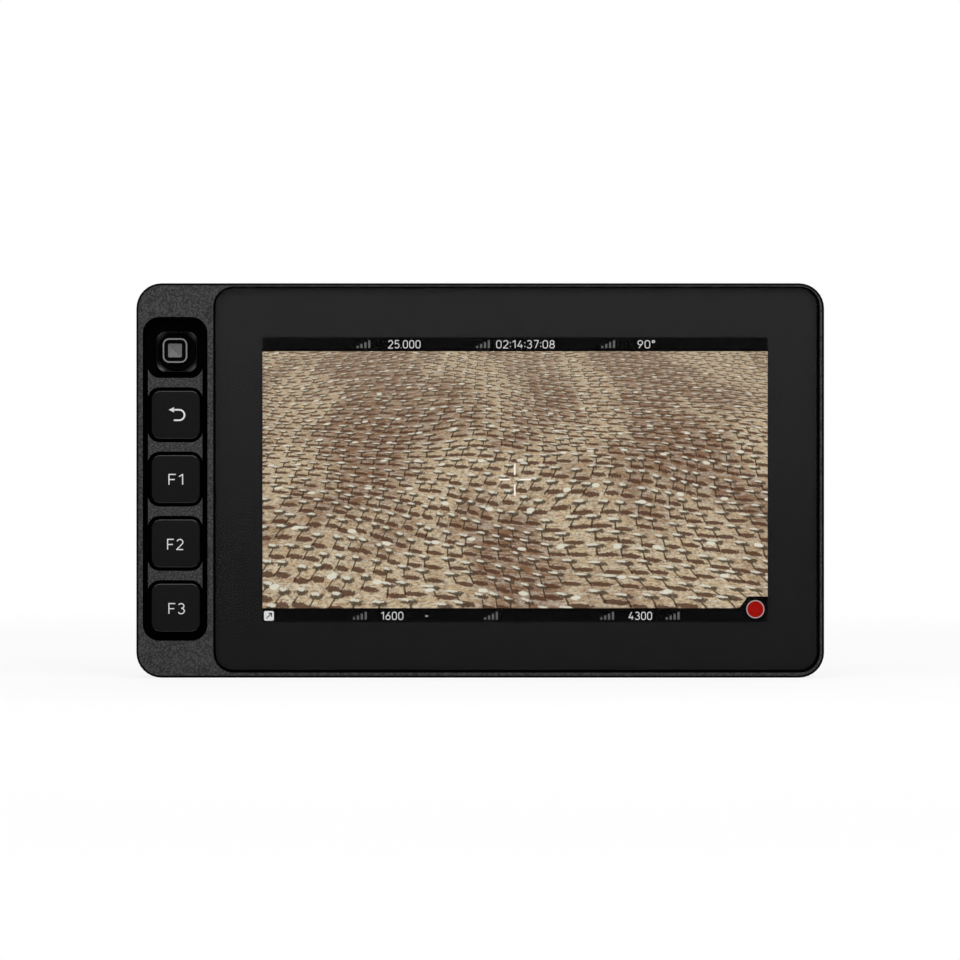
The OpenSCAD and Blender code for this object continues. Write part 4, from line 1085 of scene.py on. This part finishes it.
@dataclass
class Display:
    """The glass, its border print, the lit picture and the marks over it."""

    glass_centre: tuple[float, float] = (7.84, 43.45)
    glass_size: tuple[float, float] = (131.5, 83.6)
    glass_radius: float = 3.9
    glass_depth: Span = (0.2, 1.12)
    print_depth: Span = (1.13, 1.29)
    picture_centre: tuple[float, float] = (7.62, 43.26)
    picture_size: tuple[float, float] = (110.45, 62.3)
    picture_depth: Span = (1.24, 1.28)
    bar_depth: Span = (1.2, 1.22)
    mark_depth: Span = (1.16, 1.18)
    bar_height: float = 3.07
    tab: tuple[float, float, float] = (737.8, 747.9, 596.0)
    cross_line: float = 0.36
    digit_height: float = 1.82
    digit_line: float = 0.175
    caption_rows: Span = (344.0, 615.3)
    mark_bars: tuple[Span, ...] = ((-1.3, 0.5), (-0.45, 0.9), (0.4, 1.3), (1.25, 1.7))
    mark_width: float = 0.45
    mark_foot: float = 0.85
    lamp_place: tuple[float, float] = (755.0, 608.8)
    lamp_radius: float = 1.78
    tile_place: tuple[float, float] = (269.0, 615.4)
    upright: tuple[float, Span, Span] = (514.6, (463.4, 474.6), (484.1, 495.3))
    level: tuple[float, Span, Span] = (479.25, (498.8, 509.8), (519.7, 530.9))
    numbers: tuple[tuple[str, float, float, float], ...] = (
        ("25.000", 404.2, 344.1, 32.5), ("02:14:37:08", 525.3, 344.1, 58.5),
        ("90*", 646.0, 344.1, 17.5), ("1600", 392.0, 615.4, 22.5),
        ("4300", 640.0, 615.4, 23.5), ("-", 426.5, 615.2, 3.5))

    def build(self) -> None:
        """Builds all pieces."""
        glass = Form()
        glass.slab(self.glass_centre, self.glass_size, self.glass_radius, self.glass_depth, 0.15,
                   10)
        glass.piece("cover_plate", "housing", "cover_glass", (CoatedGlass(),), ("cover_glass",))
        self.border()
        picture = Form()
        picture.slab(self.picture_centre, self.picture_size, 0.0, self.picture_depth)
        picture.piece("screen_picture", "housing", "display", (PlainPicture(),))
        self.bars()
        self.readings()
        self.symbols()

    def border(self) -> None:
        """Builds the printed frame round the picture."""
        size = (self.glass_size[0] - 0.1, self.glass_size[1] - 0.1)
        form = Form().rim((self.glass_centre, size, self.glass_radius - 0.05),
                          (self.picture_centre, self.picture_size, 0.0), self.print_depth)
        form.piece("border_print", "housing", "cover_glass", (BorderInk(),))

    def bars(self) -> None:
        """Builds the two dark bars, the lower one with a slanted tab at its right end."""
        left, right = around(self.picture_centre[0], self.picture_size[0])
        bottom, top = around(self.picture_centre[1], self.picture_size[1])
        depth = depths(self.bar_depth)
        form = Form().box((left, right), depth, (top - self.bar_height, top))
        form.box((left, right), depth, (bottom, bottom + self.bar_height))
        foot, shoulder, row = self.tab
        foot_z, shoulder_z = (from_photo(0, level)[1] for level in (608.6, row))
        form.plate([(from_photo(foot, 0)[0], foot_z), (from_photo(shoulder, 0)[0], shoulder_z),
                    (right, shoulder_z), (right, foot_z)], self.bar_depth)
        form.piece("information_bars", "housing", "display", (LIT_BLACK,))

    def readings(self) -> None:
        """Builds the plain numbers in the bars and the plain marks beside them."""
        form = Form()
        for text, column, row, width in self.numbers:
            form.words(text, from_photo(column, row), (width * PHOTO_MM, self.digit_height),
                       self.digit_line, self.mark_depth)
        form.piece("bar_numbers", "housing", "display", (LIT_WHITE,))
        marks = Form()
        depth = depths(self.mark_depth)
        upper, lower = self.caption_rows
        for column, row in ((363.5, upper), (483.0, upper), (608.0, upper), (360.0, lower),
                            (491.0, lower), (607.0, lower), (672.5, lower)):
            x, z = from_photo(column, row)
            foot = z - self.mark_foot
            for step, size in self.mark_bars:
                marks.box(around(x + step, self.mark_width), depth, (foot, foot + size))
        marks.piece("bar_marks", "housing", "display", (LIT_GREY,))

    def symbols(self) -> None:
        """Builds the record lamp, the corner arrow and the centre cross."""
        depth = depths(self.mark_depth)
        x, z = from_photo(*self.lamp_place)
        radius = self.lamp_radius
        lamp = Form().rod((x, depth[0], z), (x, depth[1], z), radius, segments=64)
        lamp.piece("record_lamp", "housing", "display", (LIT_RED,))
        near, far = radius + 0.01, radius + 0.19
        rim = Form().ring((x, depth[1], z), (0, -1, 0),
                          ((near, 0.0), (far, 0.0), (far, 0.03), (near, 0.03)), 64)
        rim.piece("record_rim", "housing", "display", (LIT_RING,))
        cross = Form()
        column, *stretches = self.upright
        for high, low in stretches:
            (x, z0), (_, z1) = from_photo(column, low), from_photo(column, high)
            cross.box(around(x, self.cross_line), depth, (z0, z1))
        row, *stretches = self.level
        for left, right in stretches:
            (x0, z), (x1, _) = from_photo(left, row), from_photo(right, row)
            cross.box((x0, x1), depth, around(z, self.cross_line))
        cross.piece("centre_cross", "housing", "display", (LIT_CREAM,))
        x, z = from_photo(*self.tile_place)
        tile = Form()
        tile.slab((x, z), (2.15, 2.1), 0.35, self.mark_depth)
        tile.piece("corner_tile", "housing", "display", (LIT_WHITE,))
        arrow = Form()
        near = (depth[0] - 0.02, depth[0] - 0.01)
        arrow.box((x - 0.1, x + 0.65), near, around(z + 0.55, 0.22))
        arrow.box(around(x + 0.55, 0.22), near, (z - 0.2, z + 0.66))
        before = len(arrow.bm.verts)
        arrow.box(around(x, 1.6), near, around(z, 0.2))
        arrow.bm.verts.ensure_lookup_table()
        bmesh.ops.rotate(arrow.bm, cent=(x, near[0], z), verts=arrow.bm.verts[before:],
                         matrix=Matrix.Rotation(-math.pi / 4, 3, "Y"))
        arrow.piece("corner_arrow", "housing", "display", (LIT_BLACK,))


@dataclass
class KeyColumn:
    """The bezel with its lands, the keys with their legends and what lies behind."""

    x: float = -66.55
    keys: tuple[tuple[str, float, str, tuple[float, float]], ...] = (
        ("back_key", 57.45, "", (0.0, 0.0)), ("function_key_1", 43.4, "F1", (176.4, 479.2)),
        ("function_key_2", 29.35, "F2", (175.7, 544.0)),
        ("function_key_3", 15.3, "F3", (177.0, 608.1)))
    size: float = 10.52
    radius: float = 1.9
    depth: Span = (0.15, 1.85)
    stem_radius: float = 1.3
    stem_end: float = 3.9
    legend_depth: Span = (0.135, 0.16)
    legend_height: float = 2.46
    legend_width: float = 3.6
    legend_line: float = 0.24

    def build(self) -> None:
        """Builds all pieces."""
        # The lands' walls and the pocket floor take the near-black finish: painted shade in the
        # pocket.
        bezel = Form().copy_of("key_bezel").repaint(
            1, lambda face: face.normal.y > -0.99 or face.calc_center_median().y > at_depth(0.4))
        bezel.piece("key_lands", "housing", "housing", (BLASTED, CUT_SHADE), ("key_bezel",),
                    bevel=0.05)
        for node, z, words, place in self.keys:
            self.key(node, z)
            if words:
                size = (self.legend_width if words != "F1" else self.legend_width - 0.3,
                        self.legend_height)
                legend = Form().words(words, from_photo(*place), size, self.legend_line,
                                      self.legend_depth)
                legend.piece(node + "_legend", node, "keys", (INK_WHITE,))
            else:
                self.return_arrow(node, z)

    def key(self, node: str, z: float) -> None:
        """Builds a key cap with a slightly proud face, a round edge and its stem."""
        form = Form()
        form.slab((self.x, z), (self.size, self.size), self.radius, self.depth, 0.3, 10, 4)
        # The top and bottom lips take the lighter lip finish: painted highlight.
        form.repaint(1, lambda face: -0.93 < face.normal.y < -0.3
                     and abs(face.normal.z) > abs(face.normal.x))
        form.rod((self.x, at_depth(self.depth[1] - 0.05), z), (self.x, at_depth(self.stem_end), z),
                 self.stem_radius, bevel=0.1)
        form.piece(node + "_cap", node, "keys", (KEY_PLASTIC, KEY_LIP_HIGHLIGHT), (node,))

    def return_arrow(self, node: str, z: float) -> None:
        """Builds the bent arrow of the back key."""
        form = Form()
        near, far = depths(self.legend_depth)
        half, radius = 0.18, 1.14
        upper, lower, bend = z + 1.09, z - 1.19, self.x + 0.79
        form.box((self.x - 0.45, bend), (near, far), (upper - half, upper + half))
        form.box((self.x - 0.39, bend), (near, far), (lower - half, lower + half))
        middle = (upper + lower) / 2
        verts = [form.bm.verts.new((bend, y, middle + r)) for y, r in (
            (near, radius - half), (near, radius + half), (far, radius + half),
            (far, radius - half))]
        face = form.bm.faces.new(verts)
        bmesh.ops.spin(form.bm, geom=[face, *face.edges, *verts], cent=(bend, 0, middle),
                       axis=(0, 1, 0), dvec=(0, 0, 0), angle=math.pi, steps=20,
                       use_merge=False, use_duplicate=False)
        form.plate([(self.x - 1.53, upper), (self.x - 0.35, upper + 0.56),
                    (self.x - 0.35, upper - 0.56)], self.legend_depth)
        form.piece(node + "_arrow", node, "keys", (INK_WHITE,))


@dataclass
class Joystick:
    """The small stick: cap, black skirt as painted shade in the bore, collar and stem."""

    centre: tuple[float, float] = (-66.69, 71.5)
    cap_size: float = 5.36
    cap_radius: float = 1.4
    cap_depth: Span = (0.2, 1.6)
    ring: float = 0.33
    groove_floor: float = 0.9
    plateau: float = 3.02
    plateau_radius: float = 0.34
    dish: float = 0.4
    dish_depth: float = 0.28
    skirt_radius: float = 3.3
    skirt_depth: Span = (1.55, 1.95)
    collar_centre: tuple[float, float] = (-66.36, 71.24)
    collar_size: float = 8.7
    collar_radius: float = 1.8
    collar_bore: float = 4.28
    collar_drop: float = 0.55
    collar_depth: Span = (1.4, 2.9)
    neck_radius: float = 1.1
    neck_depth: Span = (1.6, 3.9)
    pin_radius: float = 0.85
    pin_depth: Span = (3.85, 5.5)

    def build(self) -> None:
        """Builds all pieces."""
        self.cap()
        self.collar()
        x, z = self.centre
        near, far = depths(self.skirt_depth)
        # A black rubber skirt fills the bore round the stem: painted shade.
        skirt = Form().rod((x, near, z), (x, far, z), self.skirt_radius - 0.3,
                           self.skirt_radius, 56, 0.08)
        skirt.piece("stick_skirt", "stick", "joystick_cap", (RUBBER,))
        neck = Form()
        for span, radius, bevel in ((self.neck_depth, self.neck_radius, 0.1),
                                    (self.pin_depth, self.pin_radius, 0.08)):
            near, far = depths(span)
            neck.rod((x, near, z), (x, far, z), radius, bevel=bevel)
        neck.piece("stick_neck", "stick", "joystick_metal", (NICKEL,), ("joystick_stem",))

    def cap(self) -> None:
        """Builds the cap: a highlight-painted ring, shade-painted groove, dished grey plateau."""
        form = Form()
        front, back = self.cap_depth
        floor = self.groove_floor
        size = (self.cap_size, self.cap_size)
        # The body behind the ring is painted near black: painted shade in the groove.
        form.slab(self.centre, (self.cap_size - 0.02,) * 2, self.cap_radius, (floor, back), 0.0,
                  8)
        inner = tuple(v - 2 * self.ring for v in size)
        # The flat ring is painted lighter than the plateau: painted highlight.
        form.paint = 1
        form.rim((self.centre, size, self.cap_radius),
                 (self.centre, inner, self.cap_radius - self.ring), (front, floor + 0.1))
        form.paint = 3
        top = form.slab(self.centre, (self.plateau, self.plateau), self.plateau_radius,
                        (front, floor + 0.1), 0.0, 4)
        form.painted(bmesh.ops.inset_region(
            form.bm, faces=top, thickness=self.dish, depth=-self.dish_depth,
            use_even_offset=True, use_boundary=True)["faces"])
        # Every wall takes the near-black groove finish: painted shade.
        form.repaint(0, lambda face: abs(face.normal.y) < 0.1)
        form.piece("stick_cap", "stick", "joystick_cap",
                   (STICK_GROOVE_SHADE, STICK_RIM_HIGHLIGHT, KEY_PLASTIC, STICK_GREY), ("joystick_cap",),
                   bevel=0.03)

    def collar(self) -> None:
        """Builds the square collar with a funnel down to its round opening."""
        form = Form()
        x, z = self.collar_centre
        front, back = self.collar_depth
        outer = form.loop((x, z), (self.collar_size,) * 2, self.collar_radius, front, 11)
        hole = bmesh.ops.create_circle(
            form.bm, cap_ends=False, segments=48, radius=self.collar_bore,
            matrix=Matrix.Translation((x, at_depth(front + self.collar_drop), z))
            @ Matrix.Rotation(math.pi / 2, 4, "X"))["verts"]
        inner = list({e for v in hole for e in v.link_edges})
        faces = bmesh.ops.bridge_loops(form.bm, edges=outer + inner)["faces"]
        for vert in form.thicken(faces, (0, 0, 0)):
            vert.co.y = at_depth(back)
        form.piece("stick_collar", "housing", "collar", (COLLAR,), ("joystick_collar",),
                   smooth=50.0, bevel=0.12)


@dataclass
class TopControls:
    """The power button with its symbol."""

    button_x: float = -34.0
    button_y: float = 2.2
    cap_radius: float = 3.6
    cap_top: float = 85.9
    flange_radius: float = 4.4
    flange_span: Span = (83.0, 83.9)
    dish: tuple[tuple[float, float], ...] = ((2.6, -0.02), (1.4, -0.1), (0.0, -0.12))
    round_edge: tuple[tuple[float, float], ...] = ((0.0, -0.3), (-0.09, -0.09), (-0.3, 0.0))
    symbol_radii: Span = (0.95, 1.2)
    symbol_rise: Span = (-0.1, -0.07)
    symbol_start: float = 40.0
    symbol_turn: float = 280.0
    bar_width: float = 0.25
    bar_span: Span = (0.15, 1.35)

    def build(self) -> None:
        """Builds all pieces."""
        low, high = self.flange_span
        top, wide = self.cap_top, self.cap_radius
        outline = ((0.0, low), (self.flange_radius, low), (self.flange_radius, high),
                   (wide, high), *((wide + r, top + h) for r, h in self.round_edge),
                   *((r, top + h) for r, h in self.dish))
        form = Form().ring((self.button_x, self.button_y, 0.0), (0, 0, 1), outline, 56)
        form.piece("power_button_cap", "power_button", "keys", (KEY_PLASTIC,),
                   ("power_button",))
        self.symbol()

    def symbol(self) -> None:
        """Builds the broken ring and bar on the button."""
        form = Form()
        low, high = (self.cap_top + rise for rise in self.symbol_rise)
        near, far = self.symbol_radii
        centre = Vector((self.button_x, self.button_y, 0.0))
        start = math.radians(self.symbol_start)
        verts = []
        for radius, z in ((near, low), (far, low), (far, high), (near, high)):
            spot = Vector((math.sin(start) * radius, math.cos(start) * radius, z))
            verts.append(form.bm.verts.new(centre + spot))
        face = form.bm.faces.new(verts)
        bmesh.ops.spin(form.bm, geom=[face, *face.edges, *verts], cent=centre, axis=(0, 0, -1),
                       dvec=(0, 0, 0), angle=math.radians(self.symbol_turn), steps=36,
                       use_merge=False, use_duplicate=False)
        form.box(around(self.button_x, self.bar_width),
                 (self.button_y + self.bar_span[0], self.button_y + self.bar_span[1]),
                 (low, high))
        form.piece("power_symbol", "power_button", "keys", (INK_WHITE,))


@dataclass
class SidePorts:
    """The fine pieces of the sockets in both side walls."""

    video_z: tuple[float, float] = (66.1, 47.1)
    video_leaves: int = 19
    video_leaf_pitch: float = 0.55
    video_y: float = 3.3
    data_z: float = 31.1
    data_leaves: int = 12
    data_leaf_pitch: float = 0.5
    data_y: float = 2.22
    tongue_end: float = 55.8
    coax_z: tuple[float, float] = (63.1, 41.1)
    coax_y: float = 4.0
    power_z: float = 15.1
    step_y: float = -3.5
    mark_x: float = 65.0
    mark_radius: float = 0.9

    def build(self) -> None:
        """Builds the fine pieces of the sockets."""
        self.leaves()
        self.barrel_threads()
        self.arrows()

    def leaves(self) -> None:
        """Builds the contact leaves on the sockets' tongues."""
        form = Form()
        for z in self.video_z:
            for number in range(self.video_leaves):
                at = z + (number - (self.video_leaves - 1) / 2) * self.video_leaf_pitch
                face = self.video_y + (1.2 if number % 2 else -0.4)
                form.box((47.0, self.tongue_end - 0.5), around(face, 0.08), around(at, 0.26))
        for number in range(self.data_leaves):
            at = self.data_z + (number - (self.data_leaves - 1) / 2) * self.data_leaf_pitch
            for side in (-0.35, 0.35):
                form.box((50.2, self.tongue_end), around(self.data_y + side, 0.06),
                         around(at, 0.24))
        form.piece("contact_leaves", "housing", "gold", (GOLD,))

    def barrel_threads(self) -> None:
        """Builds the thread between each coax nut and its lugs."""
        form = Form()
        for z in self.coax_z:
            form.helix((-59.3, self.coax_y, z), (-1, 0, 0), 4.8, 4.98, 0.6, 4)
        form.piece("barrel_threads", "housing", "nickel", (NICKEL,))

    def arrows(self) -> None:
        """Builds plain printed triangles that point in or out beside the sockets."""
        form = Form()
        places = ((self.mark_x, self.video_z[0], -1.0), (self.mark_x, self.video_z[1], 1.0),
                  (-self.mark_x - 5, self.coax_z[0], 1.0), (-self.mark_x - 5, self.coax_z[1], -1.0),
                  (self.mark_x, self.power_z, -1.0))
        for x, z, way in places:
            verts = bmesh.ops.create_circle(
                form.bm, cap_ends=True, segments=3, radius=self.mark_radius,
                matrix=Matrix.Translation((x, self.step_y + 0.02, z))
                @ Matrix.Rotation(math.pi / 2 * way, 4, "Y")
                @ Matrix.Rotation(-math.pi / 2, 4, "X"))["verts"]
            form.thicken([verts[0].link_faces[0]], (0, -0.04, 0))
        form.piece("socket_marks", "housing", "housing", (INK_GREY,))


@dataclass
class BatteryMount:
    """The latch's return spring and the ridges on its button."""

    latch_z: float = 70.5
    latch_face: float = 27.3
    spring_foot: tuple[float, float, float] = (0.0, 0.00922, 0.0705)
    spring_keep: float = 0.56
    ridge_span: Span = (-3.2, 3.2)
    ridge_depth: Span = (-0.05, 0.25)
    ridge_steps: tuple[float, ...] = (-0.1, 0.9, 1.9)
    ridge_width: float = 0.45

    def build(self) -> None:
        """Builds all pieces."""
        spring = Form().copy_of("latch_spring").piece(
            "return_spring", "housing", "spring", (TURNED,), ("latch_spring",))
        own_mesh(spring)
        form = Form()
        low, high = (self.latch_face + v for v in self.ridge_depth)
        for step in self.ridge_steps:
            form.box(self.ridge_span, depths((low, high)),
                     around(self.latch_z + 1.0 + step, self.ridge_width), bevel=0.1)
        form.piece("latch_ridges", "battery_latch", "latch", (LATCH_GREY,))


@dataclass(frozen=True)
class Rounded:
    """A CAD node that keeps its shape and gets rounded edges."""

    node: str
    name: str
    slot: str
    finish: Any
    bevel: float
    body: str = "housing"

    def build(self) -> None:
        """Builds the piece."""
        Form().copy_of(self.node).piece(self.name, self.body, self.slot, (self.finish,),
                                        (self.node,), bevel=self.bevel)


@dataclass
class PlainParts:
    """The parts that keep the shape of their CAD nodes."""

    rounded: tuple[Rounded, ...] = (
        Rounded("housing_screws", "socket_screws", "screws", BLACK_SCREW, 0.08),
        Rounded("coax_input_jack", "input_barrel", "nickel", NICKEL, 0.1),
        Rounded("coax_output_jack", "output_barrel", "nickel", NICKEL, 0.1),
        Rounded("coax_nuts", "barrel_nuts", "nickel", NICKEL, 0.15),
        Rounded("video_input_socket", "video_input_shell", "nickel", NICKEL, 0.06),
        Rounded("video_output_socket", "video_output_shell", "nickel", NICKEL, 0.06),
        Rounded("data_socket", "data_shell", "nickel", NICKEL, 0.06),
        Rounded("power_socket", "power_shell", "nickel", NICKEL, 0.06),
        Rounded("headphone_jack", "headphone_socket", "black_plastic", BLACK_PLASTIC, 0.1),
        Rounded("battery_plate", "slide_plate", "battery_plate", BATTERY_PLASTIC, 0.12),
        Rounded("contact_block", "terminal_block", "black_plastic", BLACK_PLASTIC, 0.12),
        Rounded("battery_contacts", "terminal_blades", "gold", GOLD, 0.1),
        Rounded("plate_screws", "plate_fasteners", "screws", BLACK_SCREW, 0.06),
        Rounded("battery_latch", "latch_button", "latch", LATCH_GREY, 0.15, "battery_latch"))
    repainted: tuple[tuple[Any, tuple[str, ...]], ...] = (
        # joystick_case takes the black rubber finish as painted shade deep in the joystick's bore.
        (RUBBER, ("housing_seal", "glass_tape", "key_membrane", "joystick_case")),
        (BLACK_SCREW, ("inner_screws",)),
        (DARK_GLASS, ("lcd_panel",)),
        (MILKY, ("light_guide", "led_strip")),
        (STEEL, ("backlight_tray", "mid_frame", "card_socket", "heat_spreader")),
        (FILM, ("display_flex", "control_flex")),
        (CircuitBoard(), ("control_board", "main_board")),
        (BLACK_PLASTIC, ("key_switches", "power_switch", "video_socket_tongues",
                         "data_socket_tongue", "board_chips")),
        (TURNED, ("joystick_ring",)),
        (NICKEL, ("joystick_hub",)),
        (LIT_GREEN, ("status_light",)),
        (INSULATOR, ("coax_insulators", "power_insulator")),
        (GOLD, ("coax_contacts", "power_pins", "power_posts")),
        (PAD, ("thermal_pads",)))

    def build(self) -> None:
        """Rounds the parts that show and gives the others their finishes."""
        for part in self.rounded:
            part.build()
        for finish, nodes in self.repainted:
            for node in nodes:
                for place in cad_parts[node].material_slots:
                    place.material = material_of(finish)


class Lamp(Enum):
    """The soft lamps: place, power in watts and size in metres."""

    KEY = ((0.02, -0.36, 0.46), 1.9, (0.5, 0.3))
    LEFT = ((-1.1, -0.7, 0.45), 1.8, (0.7, 0.7))
    RIGHT = ((1.1, -0.6, 0.4), 2.4, (0.7, 0.7))
    BACK = ((0.2, 1.2, 0.9), 5.0, (1.0, 0.6))


@dataclass
class Studio:
    """The floor, the white surroundings, the lamps and the camera."""

    distance: float = 1.2
    frame_width: float = 0.20972
    frame_centre: tuple[float, float] = (479.87, 479.68)
    sensor: float = 36.0
    ambient: float = 0.45
    aim: tuple[float, float, float] = (0.0, 0.0, 0.043)
    floor_size: float = 12.0

    def build(self) -> None:
        """Builds everything that isn't part of the object."""
        self.camera()
        self.world()
        self.floor()
        for lamp in Lamp:
            self.lamp(lamp)
        bpy.context.scene.view_settings.view_transform = "Standard"

    def camera(self) -> None:
        """Places the camera square on, level with the object's middle."""
        data = bpy.data.cameras.new("front_camera")
        data.sensor_width = self.sensor
        data.lens = self.sensor * self.distance / self.frame_width
        data.clip_start, data.clip_end = 0.01, 50.0
        camera = bpy.data.objects.new("front_camera", data)
        x, z = from_photo(*self.frame_centre)
        camera.location = (x * MM, FRONT * MM - self.distance, z * MM)
        camera.rotation_euler = (math.pi / 2, 0.0, 0.0)
        bpy.context.scene.collection.objects.link(camera)
        bpy.context.scene.camera = camera

    def world(self) -> None:
        """Builds soft white surroundings, plain white where they are seen."""
        world = bpy.data.worlds.new("white_surroundings")
        world.use_nodes = True
        tree = world.node_tree
        tree.nodes.clear()
        path = tree.nodes.new("ShaderNodeLightPath")
        seen = None
        for socket in ("Is Camera Ray", "Is Glossy Ray", "Is Transmission Ray"):
            if seen is None:
                seen = path.outputs[socket]
                continue
            join = tree.nodes.new("ShaderNodeMath")
            join.operation = "MAXIMUM"
            tree.links.new(seen, join.inputs[0])
            tree.links.new(path.outputs[socket], join.inputs[1])
            seen = join.outputs[0]
        level = tree.nodes.new("ShaderNodeMapRange")
        level.inputs[3].default_value = self.ambient
        level.inputs[4].default_value = 1.0
        tree.links.new(seen, level.inputs[0])
        background = tree.nodes.new("ShaderNodeBackground")
        background.inputs["Color"].default_value = (1.0, 1.0, 1.0, 1.0)
        tree.links.new(level.outputs[0], background.inputs["Strength"])
        output = tree.nodes.new("ShaderNodeOutputWorld")
        tree.links.new(background.outputs[0], output.inputs[0])
        bpy.context.scene.world = world

    def floor(self) -> None:
        """Builds the pale floor, which is white where it is seen and keeps a shadow."""
        sheet = Sheet("pale_floor")
        seen = sheet.node("ShaderNodeLightPath", out="Is Camera Ray")
        away = sheet.node("ShaderNodeVectorMath", {"operation": "LENGTH"}, {0: sheet.place()},
                          "Value")
        fleck = sheet.noise(sheet.place(), 60.0, 2.0).step(0.2, 0.8)
        colour = sheet.blend(fleck, (0.84, 0.84, 0.84), (0.86, 0.86, 0.86))
        plain = sheet.principled(Base_Color=colour, Roughness=0.9, Specular_IOR_Level=0.1)
        white = sheet.node("ShaderNodeEmission", {}, {"Color": (1, 1, 1, 1), "Strength": 1.0})
        both = sheet.node("ShaderNodeMixShader", {},
                          {0: seen * away.step(0.1, 0.7, 0.82, 1.0), 1: plain, 2: white})
        form = bmesh.new()
        bmesh.ops.create_grid(form, x_segments=1, y_segments=1, size=self.floor_size / 2)
        bmesh.ops.translate(form, vec=(0, 0, -0.00005), verts=form.verts)
        mesh = bpy.data.meshes.new("pale_floor")
        form.to_mesh(mesh)
        form.free()
        mesh.materials.append(sheet.done(both))
        floor = bpy.data.objects.new("pale_floor", mesh)
        bpy.context.scene.collection.objects.link(floor)

    def lamp(self, lamp: Lamp) -> None:
        """Places one soft lamp, aimed at the object."""
        place, watts, size = lamp.value
        data = bpy.data.lights.new(lamp.name.lower() + "_lamp", "AREA")
        data.shape, data.size, data.size_y, data.energy = "RECTANGLE", size[0], size[1], watts
        lit = bpy.data.objects.new(data.name, data)
        lit.location = place
        way = Vector(self.aim) - Vector(place)
        lit.rotation_euler = way.to_track_quat("-Z", "Y").to_euler()
        bpy.context.scene.collection.objects.link(lit)


def main() -> None:
    """Builds the studio and every sub-assembly."""
    logging.basicConfig(level=logging.INFO, format="%(name)s: %(message)s")
    Studio().build()
    for part in (Housing(), Display(), KeyColumn(), Joystick(), TopControls(), SidePorts(),
                 BatteryMount(), PlainParts()):
        log.info("building %s", type(part).__name__)
        part.build()


if __name__ == "__main__":
    main()
